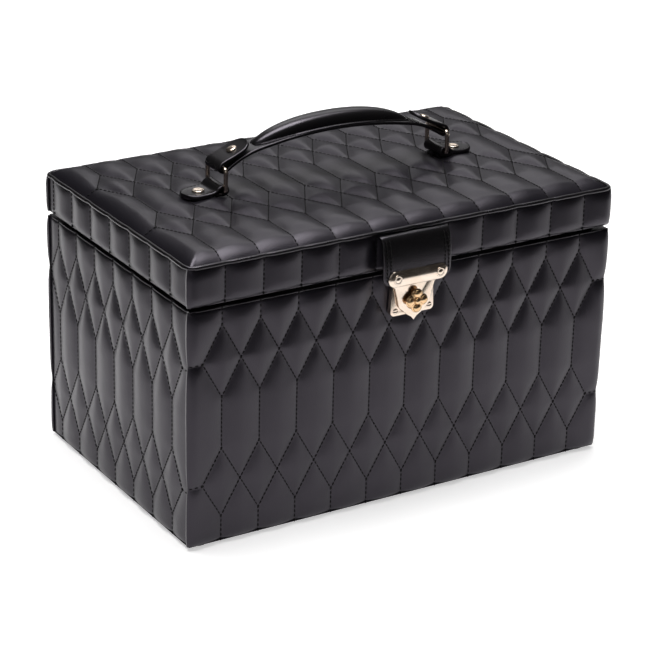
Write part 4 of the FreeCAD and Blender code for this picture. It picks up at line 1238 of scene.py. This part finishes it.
rosette = ring_plate("turn_knob_rosette", around(leaf_radius, 96), on_knob,
                     [((share, share), out * MM) for share, out in
                      ((0.85, 0.0), (0.95, 0.2), (0.97, 0.6), (0.93, 1.0), (0.84, 1.2), (0.5, 1.3),
                        (0.1, 1.3))],
                     deep_gold)
quarter_turns = [2 * math.pi * leaf / LEAVES for leaf in range(LEAVES)]
leaves = domes("turn_knob_leaves",
               [on_knob(LEAF_PLACE * math.cos(angle), LEAF_PLACE * math.sin(angle), 1.5 * MM)
                for angle in quarter_turns], LEAF_SIZE, LEAF_RISE)
boss = domes("turn_knob_boss", [on_knob(0, 0, 1.6 * MM)], BOSS_SIZE, BOSS_RISE)
shaft = ring_plate("turn_knob_spindle", around(lambda angle: SPINDLE_RADIUS, 16), on_knob,
                   [((1.0, 1.0), -SPINDLE_LENGTH), ((1.0, 1.0), 0.3 * MM)], gold)
for piece, names in ((leaves, ()), (boss, ()), (rosette, ("turn_knob",)), (shaft, ())):
    stand_for(piece, "knob", "gold_metal", *names)


# ---------------------------------------------------------------- anchor tabs
# Two folded leather tabs hold the handle's rings. Each wraps round its ring and is riveted down through the
# lid, with its end cut round and its edge painted.

RING_WIRE = 1.5 * MM
ring_low_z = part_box("left_ring")[0].z + RING_WIRE
ring_high_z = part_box("left_ring")[1].z - RING_WIRE
ring_x = (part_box("right_ring")[0].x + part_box("right_ring")[1].x) / 2
tab_floor, tab_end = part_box("right_anchor_tab")[0].z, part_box("right_anchor_tab")[1].x
TAB_HALF = 10.9 * MM
TAB_THICK, TAB_THIN = 2.9, 2.0
# The tab's flat, back from its round end and up from the lid, then its fold round the ring's wire, in mm.
TAB_FLAT = [(0, 1.3), (9, 1.2), (15, 1.5)]
TAB_FOLD = [(6.3, -0.9), (3.2, 1.6), (0.4, 2.75), (-2.1, 1.7), (-2.7, -0.8), (-0.9, -2.6), (2.6, -2.5),
            (6.0, -2.6)]
FINE_STITCH = (2.6 * MM, 2.1 * MM, 0.45 * MM, 0.1 * MM)
ALONG = Vector((0, 1, 0))
tab_rivet = turned_head("tab_rivet_head", [(4.0, -0.7), (4.3, 0.0), (4.2, 0.55), (3.7, 0.85), (3.1, 0.7),
                                           (2.2, 0.45), (1.2, 0.35), (0.3, 0.3)], 32)


def tab_half(place):
    """Half the tab's width, with its end cut round."""
    short = max(0.0, 1 - place / TAB_HALF)
    return max(0.4 * MM, TAB_HALF * math.sqrt(max(0.0, 1 - short * short)))


def tab_thick(place):
    """The tab's thickness, skived from its flat to its fold."""
    if place < 14 * MM:
        return TAB_THICK * MM
    return (TAB_THIN + (TAB_THICK - TAB_THIN) * max(0.0, 1 - (place - 14 * MM) / (8 * MM))) * MM


tab_seams = []
for name, sign in (("left_anchor_tab", -1), ("right_anchor_tab", 1)):
    corners = [(tab_end - back_by * MM, tab_floor + up * MM) for back_by, up in TAB_FLAT]
    corners += [(ring_x + a * MM, ring_low_z + b * MM) for a, b in TAB_FOLD]
    path, _ = smooth_path([(sign * a, middle_y, b) for a, b in corners], 0.8 * MM)
    rows = frames_along(path, ALONG * -sign)
    tab = strap(f"{name}_folded", rows, ALONG, tab_half, tab_thick, -0.25 * MM, 0.5 * MM, strap_leather)
    stand_for(tab, "lid", "smooth_leather", name)
    tab_seams += [strap_seam(rows, ALONG, tab_half, 2.2 * MM, side, tab_thick, (2.2 * MM, 21 * MM))
                  for side in (-1, 1)]
sew("tab_stitches", tab_seams, "lid", "smooth_leather", FINE_STITCH)
rivet_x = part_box("anchor_rivets")[1].x - 3 * MM
fasten("anchor_rivet_heads", tab_rivet,
       [(Vector((side * rivet_x, middle_y, tab_floor + 2.75 * MM)), Vector((side * 0.05, 0, 1)))
        for side in (-1, 1)], "lid", "anchor_rivets")


# ---------------------------------------------------------------- handle
# One long strap forms the handle: it runs under the padded grip, round both rings and back over itself to
# a rounded tongue, where a rivet holds the fold. The grip is filled leather, sewn down along both edges.

HANDLE_HALF = 10.0 * MM
HANDLE_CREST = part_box("handle_strap")[1].z - 2.6 * MM
HANDLE_RADIUS = 296 * MM
BAND = 2.2 * MM
TONGUE_ROUND = 11 * MM
# The right half of the strap's line, in mm: stations under the grip, the neck across and up, the fold round
# the ring's wire and the tongue that lies back over the neck.
STATIONS = (12, 26, 40, 54, 64)
NECK = [(73, 227.3), (80, 223.6)]
RING_FOLD = [(-2.6, -1.9), (-0.3, -2.7), (2.2, -1.4), (2.6, 1.0), (0.6, 3.2), (-4.0, 5.2)]
TONGUE = [(79, 229.2), (73, 232.0), (68.0, 234.6), (65.5, 236.3)]


def handle_height(x, over=0.0):
    """Height of the strap's underside at x, or of a curve that much above it."""
    return HANDLE_CREST - HANDLE_RADIUS + math.sqrt((HANDLE_RADIUS + over) ** 2 - x * x)


half_line = [(a * MM, handle_height(a * MM, BAND / 2)) for a in STATIONS]
half_line += [(a * MM, b * MM) for a, b in NECK]
half_line += [(ring_x + a * MM, ring_high_z + b * MM) for a, b in RING_FOLD]
half_line += [(a * MM, b * MM) for a, b in TONGUE]
whole_line = [(-a, b) for a, b in reversed(half_line)] + [(0, handle_height(0, BAND / 2))] + half_line
path, handle_length = smooth_path([(a, middle_y, b) for a, b in whole_line], 1.0 * MM)
handle_rows = frames_along(path, ALONG)


def handle_half(place):
    """Half the strap's width, with both tongues cut round."""
    from_tip = min(place, handle_length - place)
    short = max(0.0, 1 - from_tip / TONGUE_ROUND)
    return max(0.5 * MM, HANDLE_HALF * (max(0.0, 1 - short ** 2.2)) ** 0.5)


handle_strap = strap("handle_strap_sewn", handle_rows, ALONG, handle_half, lambda place: BAND, 0.0, 0.15 * MM,
                     strap_leather)
stand_for(handle_strap, "handle", "smooth_leather", "handle_strap")

grip_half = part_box("handle_grip")[1].x
GRIP_RISE = 8.9 * MM
GRIP_LIP = 1.3 * MM
GRIP_ROWS, GRIP_SIDES = 60, 24


def grip_reach(share):
    """Half the grip's width at a share of its half length."""
    return HANDLE_HALF * (0.34 + 0.62 * max(0.0, 1 - abs(share) ** 3.2) ** 0.6)


grip_points, grip_faces = [], []
for row in range(GRIP_ROWS + 1):
    share = -1 + 2 * row / GRIP_ROWS
    x = share * grip_half
    swell = max(0.02, 1 - abs(share) ** 2.6) ** 0.55
    reach = grip_reach(share)
    base = handle_height(x, BAND) - 0.3 * MM
    ring = [(-reach, 0.0), (-reach - 0.15 * MM, 0.7 * MM), (-reach + 0.5 * MM, GRIP_LIP)]
    for number in range(GRIP_SIDES + 1):
        angle = math.pi - math.pi * number / GRIP_SIDES
        ring.append(((reach - 1.5 * MM) * math.copysign(abs(math.cos(angle)) ** 0.8, math.cos(angle)),
                     GRIP_LIP * swell + (GRIP_RISE - 1.0 * MM) * swell * math.sin(angle) ** 0.8))
    ring += [(reach - 0.5 * MM, GRIP_LIP), (reach + 0.15 * MM, 0.7 * MM), (reach, 0.0)]
    grip_points += [Vector((x, middle_y + side, base + rise)) for side, rise in ring]
count = len(ring)
for row in range(GRIP_ROWS):
    for i in range(count):
        j = (i + 1) % count
        grip_faces.append((row * count + i, row * count + j, (row + 1) * count + j, (row + 1) * count + i))
grip_faces.append(tuple(range(count)))
grip_faces.append(tuple(GRIP_ROWS * count + i for i in range(count)))
grip = link_mesh("handle_grip_padded", grip_points, grip_faces)
grip.data.materials.append(strap_leather)
stand_for(grip, "handle", "smooth_leather", "handle_grip")


def beside_grip(side):
    """The seam along one side of the grip: its point at x and the way its thread faces."""
    def spot(point):
        reach = grip_reach(point.x / grip_half) - 0.75 * MM
        height = handle_height(point.x, BAND) + 0.75 * MM
        return Vector((point.x, middle_y + side * reach, height)), Vector((0, side * 0.3, 1)).normalized()
    return spot


HANDLE_STITCH = (2.6 * MM, 2.1 * MM, 0.45 * MM, 0.15 * MM)
handle_seams = []
for side in (-1, 1):
    for span in ((1.8 * MM, 24 * MM), (handle_length - 24 * MM, handle_length - 1.8 * MM)):
        handle_seams.append(strap_seam(handle_rows, ALONG, handle_half, 1.9 * MM, side, lambda place: -BAND,
                                       span))
    handle_seams.append(edge_lines("grip_seam", [((-0.94 * grip_half, 0), (0.94 * grip_half, 0))],
                                   beside_grip(side), 2 * MM))
sew("handle_stitches", handle_seams, "handle", "smooth_leather", HANDLE_STITCH)
handle_rivet = turned_head("handle_rivet_head", [(3.5, -0.8), (3.8, 0.0), (3.6, 0.6), (2.9, 1.0), (1.8, 1.25),
                                                 (0.8, 1.35), (0.2, 1.38)], 32)
RIVET_HEIGHT = 231.5 * MM
RIVET_LEAN = 0.42
rivet_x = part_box("handle_rivets")[1].x - 3.2 * MM
fasten("handle_rivet_heads", handle_rivet,
       [(Vector((side * rivet_x, middle_y, RIVET_HEIGHT)), Vector((side * RIVET_LEAN, 0, 1)).normalized())
        for side in (-1, 1)], "handle", "handle_rivets")


# ---------------------------------------------------------------- tray
# A lift-out tray in suede over card, with dividers, a bed of soft ring rolls and two pull tabs.

for node in ("tray_floor", "tray_long_walls", "tray_end_walls", "tray_dividers"):
    stand_for(softened(node, 0.6 * MM, black_suede), "tray", "suede_lining", node)
stand_for(softened("tray_tabs", 0.4 * MM, strap_leather), "tray", "suede_lining", "tray_tabs")
roll_low, roll_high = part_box("ring_rolls")
ROLLS = 7
ROLL_TURNS = 28
# How full a roll is at shares of its length.
ROLL_FORM = [(0.0, 0.25), (0.004, 0.62), (0.012, 0.82), (0.03, 0.94), (0.07, 1.0), (0.3, 1.01), (0.5, 1.0),
             (0.7, 1.01), (0.93, 1.0), (0.97, 0.94), (0.988, 0.82), (0.996, 0.62), (1.0, 0.25)]
roll_radius = (roll_high.z - roll_low.z) / 2
roll_points, roll_faces = [], []
for number in range(ROLLS):
    centre_y = roll_low.y + roll_radius + (roll_high.y - roll_low.y - 2 * roll_radius) * number / (ROLLS - 1)
    start = len(roll_points)
    for share, swell in ROLL_FORM:
        x = roll_low.x + (roll_high.x - roll_low.x) * share
        for turn in range(ROLL_TURNS):
            angle = 2 * math.pi * turn / ROLL_TURNS
            sink = 0.93 if math.sin(angle) < -0.3 else 1.0
            ripple = 1 + 0.012 * noise.noise(Vector((x * 60, number * 3.1, math.sin(angle) * 2)))
            full = roll_radius * swell * ripple
            roll_points.append(Vector((x, centre_y + 1.02 * full * math.cos(angle),
                                       roll_low.z + roll_radius + sink * full * math.sin(angle))))
    for level in range(len(ROLL_FORM) - 1):
        for turn in range(ROLL_TURNS):
            after = (turn + 1) % ROLL_TURNS
            roll_faces.append((start + level * ROLL_TURNS + turn, start + level * ROLL_TURNS + after,
                               start + (level + 1) * ROLL_TURNS + after,
                               start + (level + 1) * ROLL_TURNS + turn))
    roll_faces.append(tuple(start + turn for turn in range(ROLL_TURNS)))
    roll_faces.append(tuple(start + (len(ROLL_FORM) - 1) * ROLL_TURNS + turn for turn in range(ROLL_TURNS)))
rolls = link_mesh("ring_rolls_padded", roll_points, roll_faces)
rolls.data.materials.append(black_suede)
stand_for(rolls, "tray", "suede_lining", "ring_rolls")

for head in (screw_head, rivet, tab_rivet, handle_rivet):
    bpy.data.objects.remove(head)
